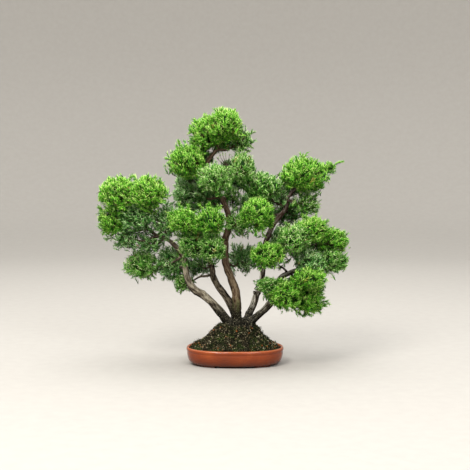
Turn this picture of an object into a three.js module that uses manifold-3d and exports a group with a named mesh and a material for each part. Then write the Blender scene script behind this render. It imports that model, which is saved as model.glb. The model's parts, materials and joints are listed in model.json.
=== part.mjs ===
// Itoigawa juniper bonsai: a clump of five trunks on a raised root mound, planted in a shallow oval pot.
// Millimetres, +Z up. The origin is under the middle of the pot, on the surface that the pot stands on.
// +X is to the right and -Y is to the front, as the tree is meant to be looked at.
import * as THREE from "three";
import { mergeVertices } from "three/addons/utils/BufferGeometryUtils.js";
import Module from "manifold-3d";

const wasm = await Module();
wasm.setup();

// Clearance between pieces that touch on the real tree.
const SEAT_GAP = 0.3;

// Pot: a superellipse in plan, squarer than a plain oval.
const POT_HALF_WIDTH = 82;
const POT_HALF_DEPTH = 57;
const POT_PLAN_POWER = 2.4;
const POT_SEGMENTS = 32;
const POT_BASE_Z = 2.2;
const POT_FLOOR_Z = 7;
// Each pair is how far the wall lies inside the rim's outline, and its height.
const POT_OUTSIDE = [
  [10, POT_BASE_Z],
  [6.2, 4.4],
  [3.2, 9.2],
  [1.3, 15.4],
  [0.3, 22],
];
const POT_RIM = [
  [0, 25.6],
  [0.9, 28.2],
  [2.8, 29.2],
  [4.6, 28.4],
];
const POT_INSIDE = [
  [5.4, 24.6],
  [6.8, 15.5],
  [9.6, 9.5],
  [14.5, POT_FLOOR_Z],
];
const FOOT_ANGLES_DEG = [52, 128, 232, 308];
const FOOT_HALF_ANGLE_DEG = 14;
const FOOT_OUTER_INSET = 10.6;
const FOOT_INNER_INSET = 20;
const FOOT_SINK = 1.5;
const FOOT_STEPS = 5;
const DRAIN_RADIUS = 6;
const DRAIN_SEGMENTS = 20;
const DRAIN_X = 30;

// Drain screens: squares of plastic mesh that lie over the drain holes inside the pot.
const SCREEN_SIDE = 22;
const SCREEN_THICKNESS = 1;
const SCREEN_BAR = 1.6;
const SCREEN_CELLS = 3;

// Soil: rings inside the pot's wall, then rings of the mound up to the foot of the trunks.
const MOUND_SHIFT_X = 3;
const SOIL_SEGMENTS = 22;
const MOUND_FOOT_Z = 30.2;
const MOUND_TOP_Z = 67.5;
const SOIL_RINGS = [
  { inset: 15.1, z: POT_FLOOR_Z + SEAT_GAP },
  { inset: 10, z: 9.9 },
  { inset: 7.2, z: 15.7 },
  { inset: 5.9, z: 24.8 },
  { inset: 9.5, z: MOUND_FOOT_Z },
];
const MOUND_RINGS = [
  { halfWidth: 51.5, halfDepth: 36, z: 44, rough: 1.6 },
  { halfWidth: 41.5, halfDepth: 30, z: 55, rough: 1.8 },
  { halfWidth: 33.5, halfDepth: 25, z: 63, rough: 1.4 },
  { halfWidth: 20, halfDepth: 15, z: 66.5, rough: 0.8 },
];

// Trunks: each station is x, y, z and the trunk's radius there.
const TRUNK_SIDES = 6;
const BARK_ROUGHNESS = 0.1;
const TRUNKS = {
  left: [
    [-1, -1, 64, 9],
    [-13, -2, 73, 8.2],
    [-23, -6, 86, 7.1],
    [-39, -10, 104, 6.6],
    [-54, -12, 118, 6.5],
    [-70, -12, 129, 6.2],
    [-78, -10, 142, 5.6],
    [-84, -6, 164, 4.8],
    [-86, -4, 180, 4.4],
    [-95, -4, 194, 4],
    [-105, -4, 204, 3.6],
    [-116, -2, 211, 3],
    [-129, 0, 215, 2.7],
    [-143, 2, 226, 2.4],
    [-155, 4, 242, 2.1],
    [-164, 6, 259, 1.6],
  ],
  second: [
    [3, 5, 64, 8],
    [1, 6, 75, 7.2],
    [-4, 10, 90, 6.2],
    [-13, 14, 108, 6],
    [-28, 14, 128, 5.5],
    [-37, 12, 145, 5.2],
    [-39, 8, 162, 4.2],
    [-44, 0, 178, 3.6],
    [-50, -8, 198, 3],
    [-60, -16, 220, 2.2],
  ],
  tall: [
    [6, 0, 64, 11],
    [4, 0, 74, 9],
    [2, -2, 88, 7.7],
    [3, -3, 104, 7.1],
    [0, -3, 126, 7],
    [-7, -2, 147, 6.4],
    [-15, 0, 167, 6],
    [-17, 2, 188, 5.8],
    [-16, 2, 209, 5.7],
    [-11, 2, 227, 5.2],
    [-10, 2, 244, 4.9],
    [-15, 3, 262, 4.5],
    [-23, 4, 279, 4.1],
    [-35, 6, 296, 3.8],
    [-44, 6, 314, 3.5],
    [-47, 5, 331, 3.3],
    [-43, 3, 344, 3.3],
    [-32, 2, 358, 3.1],
    [-27, 3, 372, 2.4],
    [-25, 3, 386, 1.7],
  ],
  fourth: [
    [13, 3, 64, 8],
    [20, 3, 74, 6.8],
    [25, 4, 86, 5.9],
    [32, 7, 100, 5.6],
    [37, 10, 116, 5.4],
    [44, 12, 133, 4.3],
    [47, 12, 153, 4.2],
    [48, 12, 177, 4.2],
    [50, 12, 198, 4.4],
    [56, 11, 215, 4.3],
    [64, 10, 233, 4.3],
    [76, 9, 249, 4.2],
    [86, 8, 262, 3.7],
    [87, 8, 275, 3.2],
    [94, 8, 287, 3],
    [104, 6, 299, 2.7],
    [110, 4, 314, 1.9],
  ],
  right: [
    [16, -2, 64, 8],
    [27, -4, 72, 7.2],
    [37, -6, 80.5, 6.2],
    [49, -9, 92.5, 5.6],
    [59, -10, 104, 5.6],
    [65, -8, 119, 5],
    [69, -5, 133, 4.5],
    [77, -3, 146, 4.3],
    [92, -2, 154, 4],
    [107, -2, 160, 3.6],
    [116, -3, 172, 3.2],
    [129, -4, 186, 2.9],
    [135, -6, 200, 2.5],
    [137, -9, 216, 1.8],
  ],
};

// The root crown stands in a hole in the soil. Surface roots run out from it over the mound.
const CROWN = { x: 7, y: 1, halfWidth: 28, halfDepth: 19, sides: 12, flutes: 5, fluteDepth: 0.08 };
const CROWN_LEVELS = [
  { z: 49, share: 0.84 },
  { z: 60, share: 1 },
  { z: 68, share: 0.84 },
  { z: 75, share: 0.55 },
];
const ROOT_SIDES = 4;
const ROOT_START_SHARE = 0.8;
const ROOT_TOP_Z = 69;
const ROOT_BEND_Z = 64.5;
const ROOT_TIP_Z = 56;
const SURFACE_ROOTS = [
  { angleDeg: 196, reach: 13 },
  { angleDeg: 258, reach: 11 },
  { angleDeg: 322, reach: 12 },
  { angleDeg: 30, reach: 11 },
  { angleDeg: 112, reach: 12 },
];

// Stubs of dead wood and bare side branches, each a short route of stations like a trunk's.
const BARE_BRANCHES = [
  [
    [63, -8, 113, 3.4],
    [61, -11, 121, 2.4],
    [54, -13, 123.5, 1.2],
  ],
  [
    [36, 8, 115, 3.6],
    [33, 5, 119, 2.8],
    [32, 3, 121, 2.2],
  ],
  [
    [88, -2, 153, 2.6],
    [83, -6, 160, 1.8],
    [74, -10, 167, 1.1],
  ],
  [
    [-38, 12, 149, 2.8],
    [-50, 15, 146, 2.2],
    [-59, 17, 145, 1.8],
    [-68, 19, 140, 1.5],
    [-80, 20, 132, 1.1],
  ],
];

// Foliage heads: middle, half sizes, and the trunk station that the head's branch grows from.
// A small head has fewer faces and sprays.
const HEADS = {
  left_top_outer: { at: [-189, -12, 281], size: [37, 33, 31], from: ["left", 14] },
  left_top_inner: { at: [-148, -24, 284], size: [31, 32, 30], from: ["left", 14] },
  left_middle: { at: [-160, -8, 251], size: [36, 30, 30], from: ["left", 13] },
  left_rear: { at: [-176, 66, 271], size: [33, 28, 29], from: ["left", 14] },
  left_outer: { at: [-205, 0, 236], size: [23, 26, 34], from: ["left", 13] },
  left_under: { at: [-181, 2, 211], size: [29, 23, 20], from: ["left", 12], small: true },
  left_elbow: { at: [-119, -6, 233], size: [31, 25, 33], from: ["left", 12], small: true },
  left_crook: { at: [-147, 8, 201], size: [26, 21, 18], from: ["left", 11], small: true },
  low_left_tip: { at: [-152, 24, 161], size: [34, 30, 27], from: ["left", 8] },
  low_left_inner: { at: [-113, 26, 162], size: [31, 28, 31], from: ["left", 7] },
  low_left_drop: { at: [-87, 18, 132], size: [14, 17, 18], from: ["left", 6], small: true },
  mid_top_left: { at: [-81, -56, 243], size: [25, 28, 21], from: ["second", 9] },
  mid_top_right: { at: [-43, -60, 245], size: [26, 28, 20], from: ["second", 9] },
  mid_low_left: { at: [-70, -44, 203], size: [22, 27, 25], from: ["second", 8] },
  mid_low_right: { at: [-42, -56, 197], size: [21, 25, 28], from: ["second", 7] },
  mid_back: { at: [-61, 64, 217], size: [33, 28, 31], from: ["second", 6], small: true },
  mid_under: { at: [-67, 34, 159], size: [26, 22, 21], from: ["second", 6], small: true },
  shade_left: { at: [-75, 34, 288], size: [30, 30, 37], from: ["tall", 12] },
  shade_inner: { at: [-48, 60, 275], size: [27, 25, 26], from: ["tall", 11], small: true },
  crown_left: { at: [-47, 4, 384], size: [29, 30, 31], from: ["tall", 18] },
  crown_right: { at: [-17, -12, 401], size: [26, 30, 29], from: ["tall", 18] },
  crown_back: { at: [-24, 44, 382], size: [30, 27, 28], from: ["tall", 17], small: true },
  spur_left: { at: [-80, -12, 338], size: [29, 30, 27], from: ["tall", 15] },
  spur_inner: { at: [-52, 26, 346], size: [19, 16, 17], from: ["tall", 14], small: true },
  spur_right: { at: [14, 8, 370], size: [18, 21, 27], from: ["tall", 17], small: true },
  shoulder_right: { at: [12, -22, 325], size: [19, 27, 30], from: ["tall", 14] },
  shoulder_front: { at: [-34, -44, 311], size: [27, 25, 25], from: ["tall", 14] },
  shoulder_low: { at: [-6, 26, 278], size: [16, 17, 19], from: ["tall", 12], small: true },
  shoulder_back: { at: [-6, 62, 312], size: [32, 27, 29], from: ["tall", 13] },
  heart_top: { at: [42, 0, 298], size: [29, 28, 26], from: ["fourth", 12] },
  heart_front: { at: [37, -54, 252], size: [24, 26, 30], from: ["fourth", 10] },
  heart_left: { at: [6, -10, 236], size: [21, 20, 24], from: ["tall", 9], small: true },
  heart_right: { at: [75, 22, 282], size: [22, 22, 29], from: ["fourth", 12], small: true },
  heart_back: { at: [38, 64, 261], size: [32, 27, 30], from: ["fourth", 11] },
  fan_back: { at: [16, 56, 167], size: [29, 28, 29], from: ["tall", 6] },
  fan_front: { at: [55, -52, 186], size: [26, 27, 20], from: ["fourth", 7] },
  peak_left: { at: [104, 2, 319], size: [22, 27, 24], from: ["fourth", 15] },
  peak_right: { at: [121, -18, 313], size: [29, 29, 29], from: ["fourth", 15] },
  peak_tip: { at: [157, 0, 330], size: [18, 15, 11], from: ["fourth", 15], small: true },
  peak_back: { at: [112, 56, 303], size: [31, 26, 28], from: ["fourth", 14], small: true },
  peak_under: { at: [122, 6, 266], size: [21, 25, 24], from: ["fourth", 13], small: true },
  peak_inner: { at: [93, 46, 248], size: [29, 23, 28], from: ["fourth", 12], small: true },
  wing_left: { at: [97, -42, 213], size: [27, 27, 25], from: ["right", 12] },
  wing_top: { at: [129, -26, 227], size: [28, 28, 23], from: ["right", 13] },
  wing_right: { at: [165, -6, 203], size: [23, 28, 23], from: ["right", 12] },
  wing_low: { at: [160, -14, 174], size: [27, 28, 22], from: ["right", 11] },
  wing_low_inner: { at: [129, -34, 173], size: [23, 22, 21], from: ["right", 10], small: true },
  wing_inner: { at: [77, 30, 206], size: [22, 22, 23], from: ["fourth", 9], small: true },
  wing_under: { at: [105, 14, 186], size: [17, 20, 13], from: ["right", 9], small: true },
  wing_back: { at: [137, 58, 202], size: [34, 27, 29], from: ["right", 12] },
  skirt_top: { at: [118, -52, 146], size: [28, 27, 22], from: ["right", 9] },
  skirt_tip: { at: [57, -54, 138], size: [20, 18, 14], from: ["right", 6], small: true },
  skirt_left: { at: [83, -56, 117], size: [27, 27, 26], from: ["right", 7] },
  skirt_right: { at: [118, -34, 109], size: [30, 28, 27], from: ["right", 9] },
  skirt_back: { at: [121, 44, 124], size: [33, 27, 26], from: ["right", 8] },
};
const CORE_SHARE = 0.93;
const CORE_ROUGHNESS = 0.1;
const UNDERSIDE_SHARE = 0.86;
const BARE_UNDERSIDE = -0.7;
const BARE_CHANCE = 0.14;
const SPRAY_BASE_SHARE = 0.3;
const SPRAY_LEAN = 0.24;
const SPRAY_REACH = 1;
const SPRAY_SPREAD = 0.18;
const SHORTEST_SPRAY = 3;
const HEAD_GAP = 0.5;

// Branches that carry the heads.
const TWIG_SIDES = 3;
const TWIG_START_RADIUS = 2.2;
const TWIG_END_RADIUS = 1.3;
const TWIG_END_SHARE = 0.15;
const TWIG_SAG_SHARE = 0.12;
const TWIG_MOST_SAG = 10;
const STRAIGHT_TWIG = 48;

// A repeatable random number from 0 to 1, so that every build gives the same tree.
function randomSource(seed) {
  let state = seed >>> 0;
  return () => {
    state = (state + 0x6d2b79f5) >>> 0;
    let t = Math.imul(state ^ (state >>> 15), 1 | state);
    t = (t + Math.imul(t ^ (t >>> 7), 61 | t)) ^ t;
    return ((t ^ (t >>> 14)) >>> 0) / 4294967296;
  };
}

// A slow wobble from -1 to 1 over space, used for bark, soil and foliage outlines.
function wobble(x, y, z) {
  return (
    (Math.sin(x * 1.3 + y * 0.7 + 1.1) +
      Math.sin(y * 1.7 - z * 0.9 + 2.3) +
      Math.sin(z * 1.1 + x * 0.8 + 0.4)) /
    3
  );
}

function solidFrom(geometry) {
  const bare = geometry.clone();
  bare.deleteAttribute("normal");
  bare.deleteAttribute("uv");
  const merged = mergeVertices(bare, 1e-4);
  return new wasm.Manifold(
    new wasm.Mesh({
      numProp: 3,
      vertProperties: new Float32Array(merged.attributes.position.array),
      triVerts: new Uint32Array(merged.index.array),
    }),
  );
}

function geometryFrom(solid) {
  const { vertProperties, triVerts } = solid.getMesh();
  const geometry = new THREE.BufferGeometry();
  geometry.setAttribute("position", new THREE.BufferAttribute(vertProperties, 3));
  geometry.setIndex(new THREE.BufferAttribute(triVerts, 1));
  const faceted = geometry.toNonIndexed();
  faceted.computeVertexNormals();
  return faceted;
}

// Closed skin over a stack of rings with equally many points, with a flat cap at both ends.
function solidOfRings(rings) {
  const count = rings[0].length;
  const top = (rings.length - 1) * count;
  const index = [];
  for (let k = 0; k < count; k++) {
    const next = (k + 1) % count;
    for (let low = 0; low < top; low += count) {
      const high = low + count;
      index.push(low + k, low + next, high + next);
      index.push(low + k, high + next, high + k);
    }
  }
  for (let k = 1; k + 1 < count; k++) {
    index.push(0, k + 1, k);
    index.push(top, top + k, top + k + 1);
  }
  const geometry = new THREE.BufferGeometry().setFromPoints(rings.flat());
  geometry.setIndex(index);
  return solidFrom(geometry);
}

// Point on the pot's plan outline, moved in from the rim by an inset.
function potOutline(angle, inset, z) {
  const power = 2 / POT_PLAN_POWER;
  const along = (value, half) => Math.sign(value) * Math.abs(value) ** power * (half - inset);
  return new THREE.Vector3(
    along(Math.cos(angle), POT_HALF_WIDTH),
    along(Math.sin(angle), POT_HALF_DEPTH),
    z,
  );
}

function potRing([inset, z]) {
  return Array.from({ length: POT_SEGMENTS }, (_, k) =>
    potOutline((k / POT_SEGMENTS) * Math.PI * 2, inset, z),
  );
}

// A short arc of the pot's base outline that reaches down to the ground.
function potFoot(angleDeg) {
  const sweep = (inset, z) =>
    Array.from({ length: FOOT_STEPS }, (_, k) => {
      const offset = (k / (FOOT_STEPS - 1)) * 2 - 1;
      const angle = ((angleDeg + offset * FOOT_HALF_ANGLE_DEG) * Math.PI) / 180;
      return potOutline(angle, inset, z);
    });
  const ringAt = (z) => [...sweep(FOOT_OUTER_INSET, z), ...sweep(FOOT_INNER_INSET, z).reverse()];
  return solidOfRings([ringAt(0), ringAt(POT_BASE_Z + FOOT_SINK)]);
}

function roundBar(radius, height, segments) {
  const bar = new THREE.CylinderGeometry(radius, radius, height, segments);
  return solidFrom(bar.rotateX(Math.PI / 2));
}

// Moulded clay pot: curved wall, rounded lip, four feet and two drain holes.
function makePot() {
  let pot = solidOfRings([...POT_OUTSIDE, ...POT_RIM, ...POT_INSIDE].map(potRing));
  for (const angleDeg of FOOT_ANGLES_DEG) pot = pot.add(potFoot(angleDeg));
  for (const side of [-1, 1]) {
    const drain = roundBar(DRAIN_RADIUS, 4 * POT_FLOOR_Z, DRAIN_SEGMENTS);
    pot = pot.subtract(drain.translate([side * DRAIN_X, 0, 0]));
  }
  return pot;
}

// Plastic mesh over a drain hole: crossed bars with square cells between them.
function makeScreen(x) {
  const z = POT_FLOOR_Z + SEAT_GAP + SCREEN_THICKNESS / 2;
  const plate = (width, depth, dx, dy) =>
    solidFrom(new THREE.BoxGeometry(width, depth, SCREEN_THICKNESS)).translate([x + dx, dy, z]);
  let screen = plate(SCREEN_SIDE, SCREEN_SIDE, 0, 0);
  const pitch = (SCREEN_SIDE - SCREEN_BAR) / SCREEN_CELLS;
  const cell = pitch - SCREEN_BAR;
  for (let i = 0; i < SCREEN_CELLS; i++) {
    for (let j = 0; j < SCREEN_CELLS; j++) {
      const dx = (i - (SCREEN_CELLS - 1) / 2) * pitch;
      const dy = (j - (SCREEN_CELLS - 1) / 2) * pitch;
      const hole = new THREE.BoxGeometry(cell, cell, 4 * SCREEN_THICKNESS);
      screen = screen.subtract(solidFrom(hole).translate([x + dx, dy, z]));
    }
  }
  return screen;
}

// Block that keeps the soil clear of a drain screen.
function screenSeat(x) {
  const side = SCREEN_SIDE + 2 * SEAT_GAP;
  const height = 2 * (SCREEN_THICKNESS + 2 * SEAT_GAP);
  return solidFrom(new THREE.BoxGeometry(side, side, height)).translate([x, 0, POT_FLOOR_Z]);
}

// Soil: fills the pot, then rises as a rough mound to the foot of the trunks.
function makeSoil(woodWithClearance) {
  const angles = Array.from(
    { length: SOIL_SEGMENTS },
    (_, k) => (k / SOIL_SEGMENTS) * Math.PI * 2,
  );
  const inPot = SOIL_RINGS.map(({ inset, z }) => angles.map((a) => potOutline(a, inset, z)));
  const mound = MOUND_RINGS.map(({ halfWidth, halfDepth, z, rough }) =>
    angles.map((a) => {
      const lump = wobble(Math.cos(a) * 6, Math.sin(a) * 6, z * 0.3) * rough;
      const rise = (z - MOUND_FOOT_Z) / (MOUND_TOP_Z - MOUND_FOOT_Z);
      return new THREE.Vector3(
        MOUND_SHIFT_X * rise + Math.cos(a) * (halfWidth + lump),
        Math.sin(a) * (halfDepth + lump),
        z + lump * 0.5,
      );
    }),
  );
  let soil = solidOfRings([...inPot, ...mound]);
  for (const side of [-1, 1]) soil = soil.subtract(screenSeat(side * DRAIN_X));
  return largestPiece(soil.subtract(woodWithClearance));
}

// The axis that a direction runs along least.
function axisAcross(direction) {
  const lengths = direction.toArray().map(Math.abs);
  return new THREE.Vector3().setComponent(lengths.indexOf(Math.min(...lengths)), 1);
}

// Tube through stations of x, y, z and radius, a little out of round as bark is.
function woodenTube(stations, sides, extra) {
  const points = stations.map(([x, y, z]) => new THREE.Vector3(x, y, z));
  const swell = extra / Math.cos(Math.PI / sides);
  const side = axisAcross(points[points.length - 1].clone().sub(points[0]));
  const rings = points.map((point, i) => {
    const before = points[Math.max(i - 1, 0)];
    const after = points[Math.min(i + 1, points.length - 1)];
    const along = after.clone().sub(before).normalize();
    const across = side.clone().addScaledVector(along, -side.dot(along)).normalize();
    const third = along.clone().cross(across);
    return Array.from({ length: sides }, (_, k) => {
      const angle = (k / sides) * Math.PI * 2;
      const ridge = 1 + BARK_ROUGHNESS * wobble(k * 2.1, i * 1.3, point.z * 0.02);
      const radius = stations[i][3] * ridge + swell;
      return point
        .clone()
        .addScaledVector(across, Math.cos(angle) * radius)
        .addScaledVector(third, Math.sin(angle) * radius);
    });
  });
  const reach = (ring, from, to) => {
    const step = to.clone().sub(from).normalize().multiplyScalar(extra);
    return ring.map((p) => p.clone().add(step));
  };
  if (extra > 0) {
    const n = points.length;
    rings[0] = reach(rings[0], points[1], points[0]);
    rings[n - 1] = reach(rings[n - 1], points[n - 2], points[n - 1]);
  }
  return solidOfRings(rings);
}

// Root crown: the fluted stump that all five trunks rise from, half sunk in the soil.
function rootCrown(extra) {
  const lowest = CROWN_LEVELS[0].z;
  return solidOfRings(
    CROWN_LEVELS.map(({ z, share }) =>
      Array.from({ length: CROWN.sides }, (_, k) => {
        const angle = (k / CROWN.sides) * Math.PI * 2;
        const flute = share * (1 + CROWN.fluteDepth * Math.sin(angle * CROWN.flutes));
        return new THREE.Vector3(
          CROWN.x + Math.cos(angle) * (CROWN.halfWidth * flute + extra),
          CROWN.y + Math.sin(angle) * (CROWN.halfDepth * flute + extra),
          z === lowest ? z - extra : z + extra,
        );
      }),
    ),
  );
}

// Root that leaves the crown, runs over the shoulder of the mound and dives into it.
function surfaceRoot({ angleDeg, reach }) {
  const angle = (angleDeg * Math.PI) / 180;
  const station = (share, z, radius) => [
    CROWN.x + Math.cos(angle) * (CROWN.halfWidth * ROOT_START_SHARE + reach * share),
    CROWN.y + Math.sin(angle) * (CROWN.halfDepth * ROOT_START_SHARE + reach * share),
    z,
    radius,
  ];
  return [
    station(-0.5, ROOT_TOP_Z, 5),
    station(0.35, ROOT_BEND_Z, 3.4),
    station(1, ROOT_TIP_Z, 1.8),
  ];
}

// Branch from a trunk station to a head. It starts inside the trunk and ends inside the head.
function headBranch({ at, size, from: [trunk, station] }) {
  const [x, y, z, trunkRadius] = TRUNKS[trunk][station];
  const start = new THREE.Vector3(x, y, z);
  const middle = new THREE.Vector3(...at);
  const across = middle.clone().sub(start);
  const length = across.length();
  const end = middle.clone().addScaledVector(across, (-TWIG_END_SHARE * size[0]) / length);
  const sag = Math.min(TWIG_SAG_SHARE * length, TWIG_MOST_SAG);
  const bend = start.clone().lerp(end, 0.5).add(new THREE.Vector3(0, 0, -sag));
  const thick = Math.min(TWIG_START_RADIUS, trunkRadius * 0.85);
  const middleStation = [...bend, (thick + TWIG_END_RADIUS) / 2];
  return [
    [...start, thick],
    ...(length > STRAIGHT_TWIG ? [middleStation] : []),
    [...end, TWIG_END_RADIUS],
  ];
}

// All the wood of the tree in one solid. extra swells every surface, for the clearance around it.
function makeWood(extra) {
  const parts = [rootCrown(extra)];
  for (const stations of Object.values(TRUNKS)) {
    parts.push(woodenTube(stations, TRUNK_SIDES, extra));
  }
  for (const root of SURFACE_ROOTS) parts.push(woodenTube(surfaceRoot(root), ROOT_SIDES, extra));
  for (const stations of BARE_BRANCHES) parts.push(woodenTube(stations, TWIG_SIDES + 1, extra));
  for (const head of Object.values(HEADS)) {
    parts.push(woodenTube(headBranch(head), TWIG_SIDES, extra));
  }
  return wasm.Manifold.union(parts);
}

function largestPiece(solid) {
  const pieces = solid.decompose();
  return pieces.reduce((best, piece) => (piece.volume() > best.volume() ? piece : best));
}

// How far a head's outline lies from its middle in a direction.
function headReach({ size }, direction) {
  const under = direction.z < 0 ? UNDERSIDE_SHARE : 1;
  const scaled = new THREE.Vector3(
    direction.x / size[0],
    direction.y / size[1],
    direction.z / (size[2] * under),
  );
  return 1 / scaled.length();
}

// Planes between a head and its neighbours, each as a direction and the reach allowed along it.
function limitsOf(name) {
  const head = HEADS[name];
  const middle = new THREE.Vector3(...head.at);
  return Object.entries(HEADS)
    .filter(([other]) => other !== name)
    .map(([, other]) => {
      const towards = new THREE.Vector3(...other.at).sub(middle);
      const distance = towards.length();
      const direction = towards.normalize();
      const mine = headReach(head, direction);
      const theirs = headReach(other, direction.clone().negate());
      return { direction, reach: (distance * mine) / (mine + theirs) - HEAD_GAP / 2 };
    });
}

// Shortens an offset from a head's middle until it is on the head's own side of every plane.
function keptInside(offset, limits) {
  let share = 1;
  for (const { direction, reach } of limits) {
    const along = offset.dot(direction);
    if (along > reach) share = Math.min(share, reach / along);
  }
  return offset.clone().multiplyScalar(share);
}

// Coarse ball whose faces are spread evenly. Each face carries one spray.
function headBall(small) {
  const ball = small ? new THREE.IcosahedronGeometry(1, 0) : new THREE.OctahedronGeometry(1, 1);
  ball.deleteAttribute("normal");
  ball.deleteAttribute("uv");
  return mergeVertices(ball, 1e-4);
}

// Foliage head: a lumpy core with a tapering spray of scale-leaved shoots raised from each face.
// The sprays lean up towards the light, and a few faces underneath are left bare.
function makeHead(name, number, woodWithClearance) {
  const head = HEADS[name];
  const random = randomSource(977 + number * 131);
  const limits = limitsOf(name);
  const ball = headBall(head.small);
  const turn = new THREE.Quaternion().setFromEuler(
    new THREE.Euler(random() * 6, random() * 6, random() * 6),
  );
  const points = [];
  for (let i = 0; i < ball.attributes.position.count; i++) {
    const out = new THREE.Vector3().fromBufferAttribute(ball.attributes.position, i);
    out.normalize().applyQuaternion(turn);
    const lump = 1 + CORE_ROUGHNESS * (random() * 2 - 1);
    points.push(keptInside(out.multiplyScalar(headReach(head, out) * CORE_SHARE * lump), limits));
  }
  const index = [];
  for (let face = 0; face < ball.index.count; face += 3) {
    const corners = [0, 1, 2].map((k) => ball.index.getX(face + k));
    const places = corners.map((corner) => points[corner]);
    const centre = places.reduce((sum, p) => sum.add(p), new THREE.Vector3()).divideScalar(3);
    const out = centre.clone().normalize();
    const lean = new THREE.Vector3(random() - 0.5, random() - 0.5, 0.6 + random() * 0.5);
    const facing = out.clone().addScaledVector(lean, SPRAY_LEAN).normalize();
    const reach = headReach(head, facing) * (SPRAY_REACH + random() * SPRAY_SPREAD);
    const tip = keptInside(facing.multiplyScalar(reach), limits);
    const plane = new THREE.Plane().setFromCoplanarPoints(...places);
    const bare = out.z < BARE_UNDERSIDE || random() < BARE_CHANCE;
    if (bare || plane.distanceToPoint(tip) < SHORTEST_SPRAY) {
      index.push(...corners);
      continue;
    }
    const first = points.length;
    points.push(...places.map((p) => centre.clone().lerp(p, SPRAY_BASE_SHARE)), tip);
    for (let k = 0; k < 3; k++) {
      const next = (k + 1) % 3;
      index.push(corners[k], corners[next], first + next);
      index.push(corners[k], first + next, first + k);
      index.push(first + k, first + next, first + 3);
    }
  }
  const geometry = new THREE.BufferGeometry().setFromPoints(points);
  geometry.setIndex(index);
  geometry.translate(...head.at);
  return largestPiece(solidFrom(geometry).subtract(woodWithClearance));
}

const finishes = {
  pot: { color: 0xb85a32, roughness: 0.42, metalness: 0 },
  screen: { color: 0x20211f, roughness: 0.6, metalness: 0 },
  soil: { color: 0x2c2a1c, roughness: 1, metalness: 0 },
  wood: { color: 0x75665a, roughness: 0.9, metalness: 0 },
  foliage: { color: 0x4a8a2a, roughness: 0.7, metalness: 0 },
};

const bonsai = new THREE.Group();

function addPiece(name, solid, finish) {
  const material = new THREE.MeshStandardMaterial(finishes[finish]);
  const mesh = new THREE.Mesh(geometryFrom(solid), material);
  mesh.name = name;
  bonsai.add(mesh);
}

const woodWithClearance = makeWood(SEAT_GAP);
addPiece("pot", makePot(), "pot");
addPiece("drain_screen_left", makeScreen(-DRAIN_X), "screen");
addPiece("drain_screen_right", makeScreen(DRAIN_X), "screen");
addPiece("soil_mound", makeSoil(woodWithClearance), "soil");
addPiece("trunks_and_branches", makeWood(0), "wood");
Object.keys(HEADS).forEach((name, number) => {
  addPiece(`foliage_${name}`, makeHead(name, number, woodWithClearance), "foliage");
});

export default bonsai;
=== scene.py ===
import json
import math

import bmesh
import bpy
import numpy as np
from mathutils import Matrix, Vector


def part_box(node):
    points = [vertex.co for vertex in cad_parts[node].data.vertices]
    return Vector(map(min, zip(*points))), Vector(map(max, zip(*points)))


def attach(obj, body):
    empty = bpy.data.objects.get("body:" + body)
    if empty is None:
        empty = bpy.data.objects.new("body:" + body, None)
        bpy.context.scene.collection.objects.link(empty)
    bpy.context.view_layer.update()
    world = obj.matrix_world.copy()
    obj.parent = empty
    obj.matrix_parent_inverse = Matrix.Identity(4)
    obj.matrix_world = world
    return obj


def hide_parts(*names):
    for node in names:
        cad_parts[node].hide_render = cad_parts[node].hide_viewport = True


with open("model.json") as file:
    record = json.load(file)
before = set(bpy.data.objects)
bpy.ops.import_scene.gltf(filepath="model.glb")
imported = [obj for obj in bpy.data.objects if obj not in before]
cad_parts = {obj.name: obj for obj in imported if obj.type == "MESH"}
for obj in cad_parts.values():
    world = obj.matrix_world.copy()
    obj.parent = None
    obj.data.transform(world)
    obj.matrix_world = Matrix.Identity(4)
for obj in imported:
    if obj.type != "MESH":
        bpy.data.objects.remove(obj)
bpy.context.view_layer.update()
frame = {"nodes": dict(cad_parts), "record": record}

# Pot: one piece of red clay pressed in a mould and fired once, with a satin skin, a rounded lip,
# four low feet and two drain holes.

# Shapes are planned in millimetres, and MM turns them into metres as each mesh is made. Finishes
# measure in metres.
MM = 0.001
POT_HALF_WIDTH, POT_HALF_DEPTH = 82, 57
POT_PLAN_POWER = 2.4
POT_SEGMENTS = 144
# How far the wall lies inside the rim's outline, and its height.
POT_OUTSIDE = [(10, 2.2), (6.2, 4.4), (3.2, 9.2), (1.5, 15.4), (0.9, 20), (0.95, 22.4)]
POT_LIP = [
    (0.4, 23.8), (0.05, 25.4), (0.15, 26.9), (0.8, 28.2), (2, 29), (3.2, 29.1), (4.3, 28.5), (4.9, 27.2),
]
POT_INSIDE = [(5.4, 24.6), (6.8, 15.5), (9.6, 9.5), (14.5, 7)]
FOOT_ANGLES = [52, 128, 232, 308]
FOOT_HALF_ANGLE = 14
FOOT_INSETS = (10.6, 20)
FOOT_STEPS = 12
# Heights of the rows of a foot, and how far each is drawn in to round its edge.
FOOT_ROWS = [(0, 0.9), (0.35, 0.25), (1, 0), (4, 0)]
DRAIN_X, DRAIN_RADIUS, DRAIN_SIDES = 30, 6, 40
BORE_BOTTOM_Z, BORE_TOP_Z = -2, 12
# The heights, in metres, between which the rim top is painted paler, a painted highlight, and the wall is
# painted darker towards the feet, a painted shade.
RIM_PAINTED_HIGHLIGHT = (0.0265, 0.0288)
WALL_PAINTED_SHADE = (0.018, 0.003)


def smooth_route(stations, spacing):
    """Points about a spacing apart on a smooth curve through the stations."""
    stations = np.asarray(stations, float)
    first, last = 2 * stations[0] - stations[1], 2 * stations[-1] - stations[-2]
    held = np.vstack([first, stations, last])
    route = []
    for before, start, end, after in zip(held, held[1:], held[2:], held[3:]):
        steps = max(1, round(float(np.linalg.norm((end - start)[:3])) / spacing))
        for t in np.arange(steps) / steps:
            linear = (end - before) * t
            square = (2 * before - 5 * start + 4 * end - after) * t**2
            cube = (3 * start - before - 3 * end + after) * t**3
            route.append(start + (linear + square + cube) / 2)
    return np.array(route + [stations[-1]])


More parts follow.
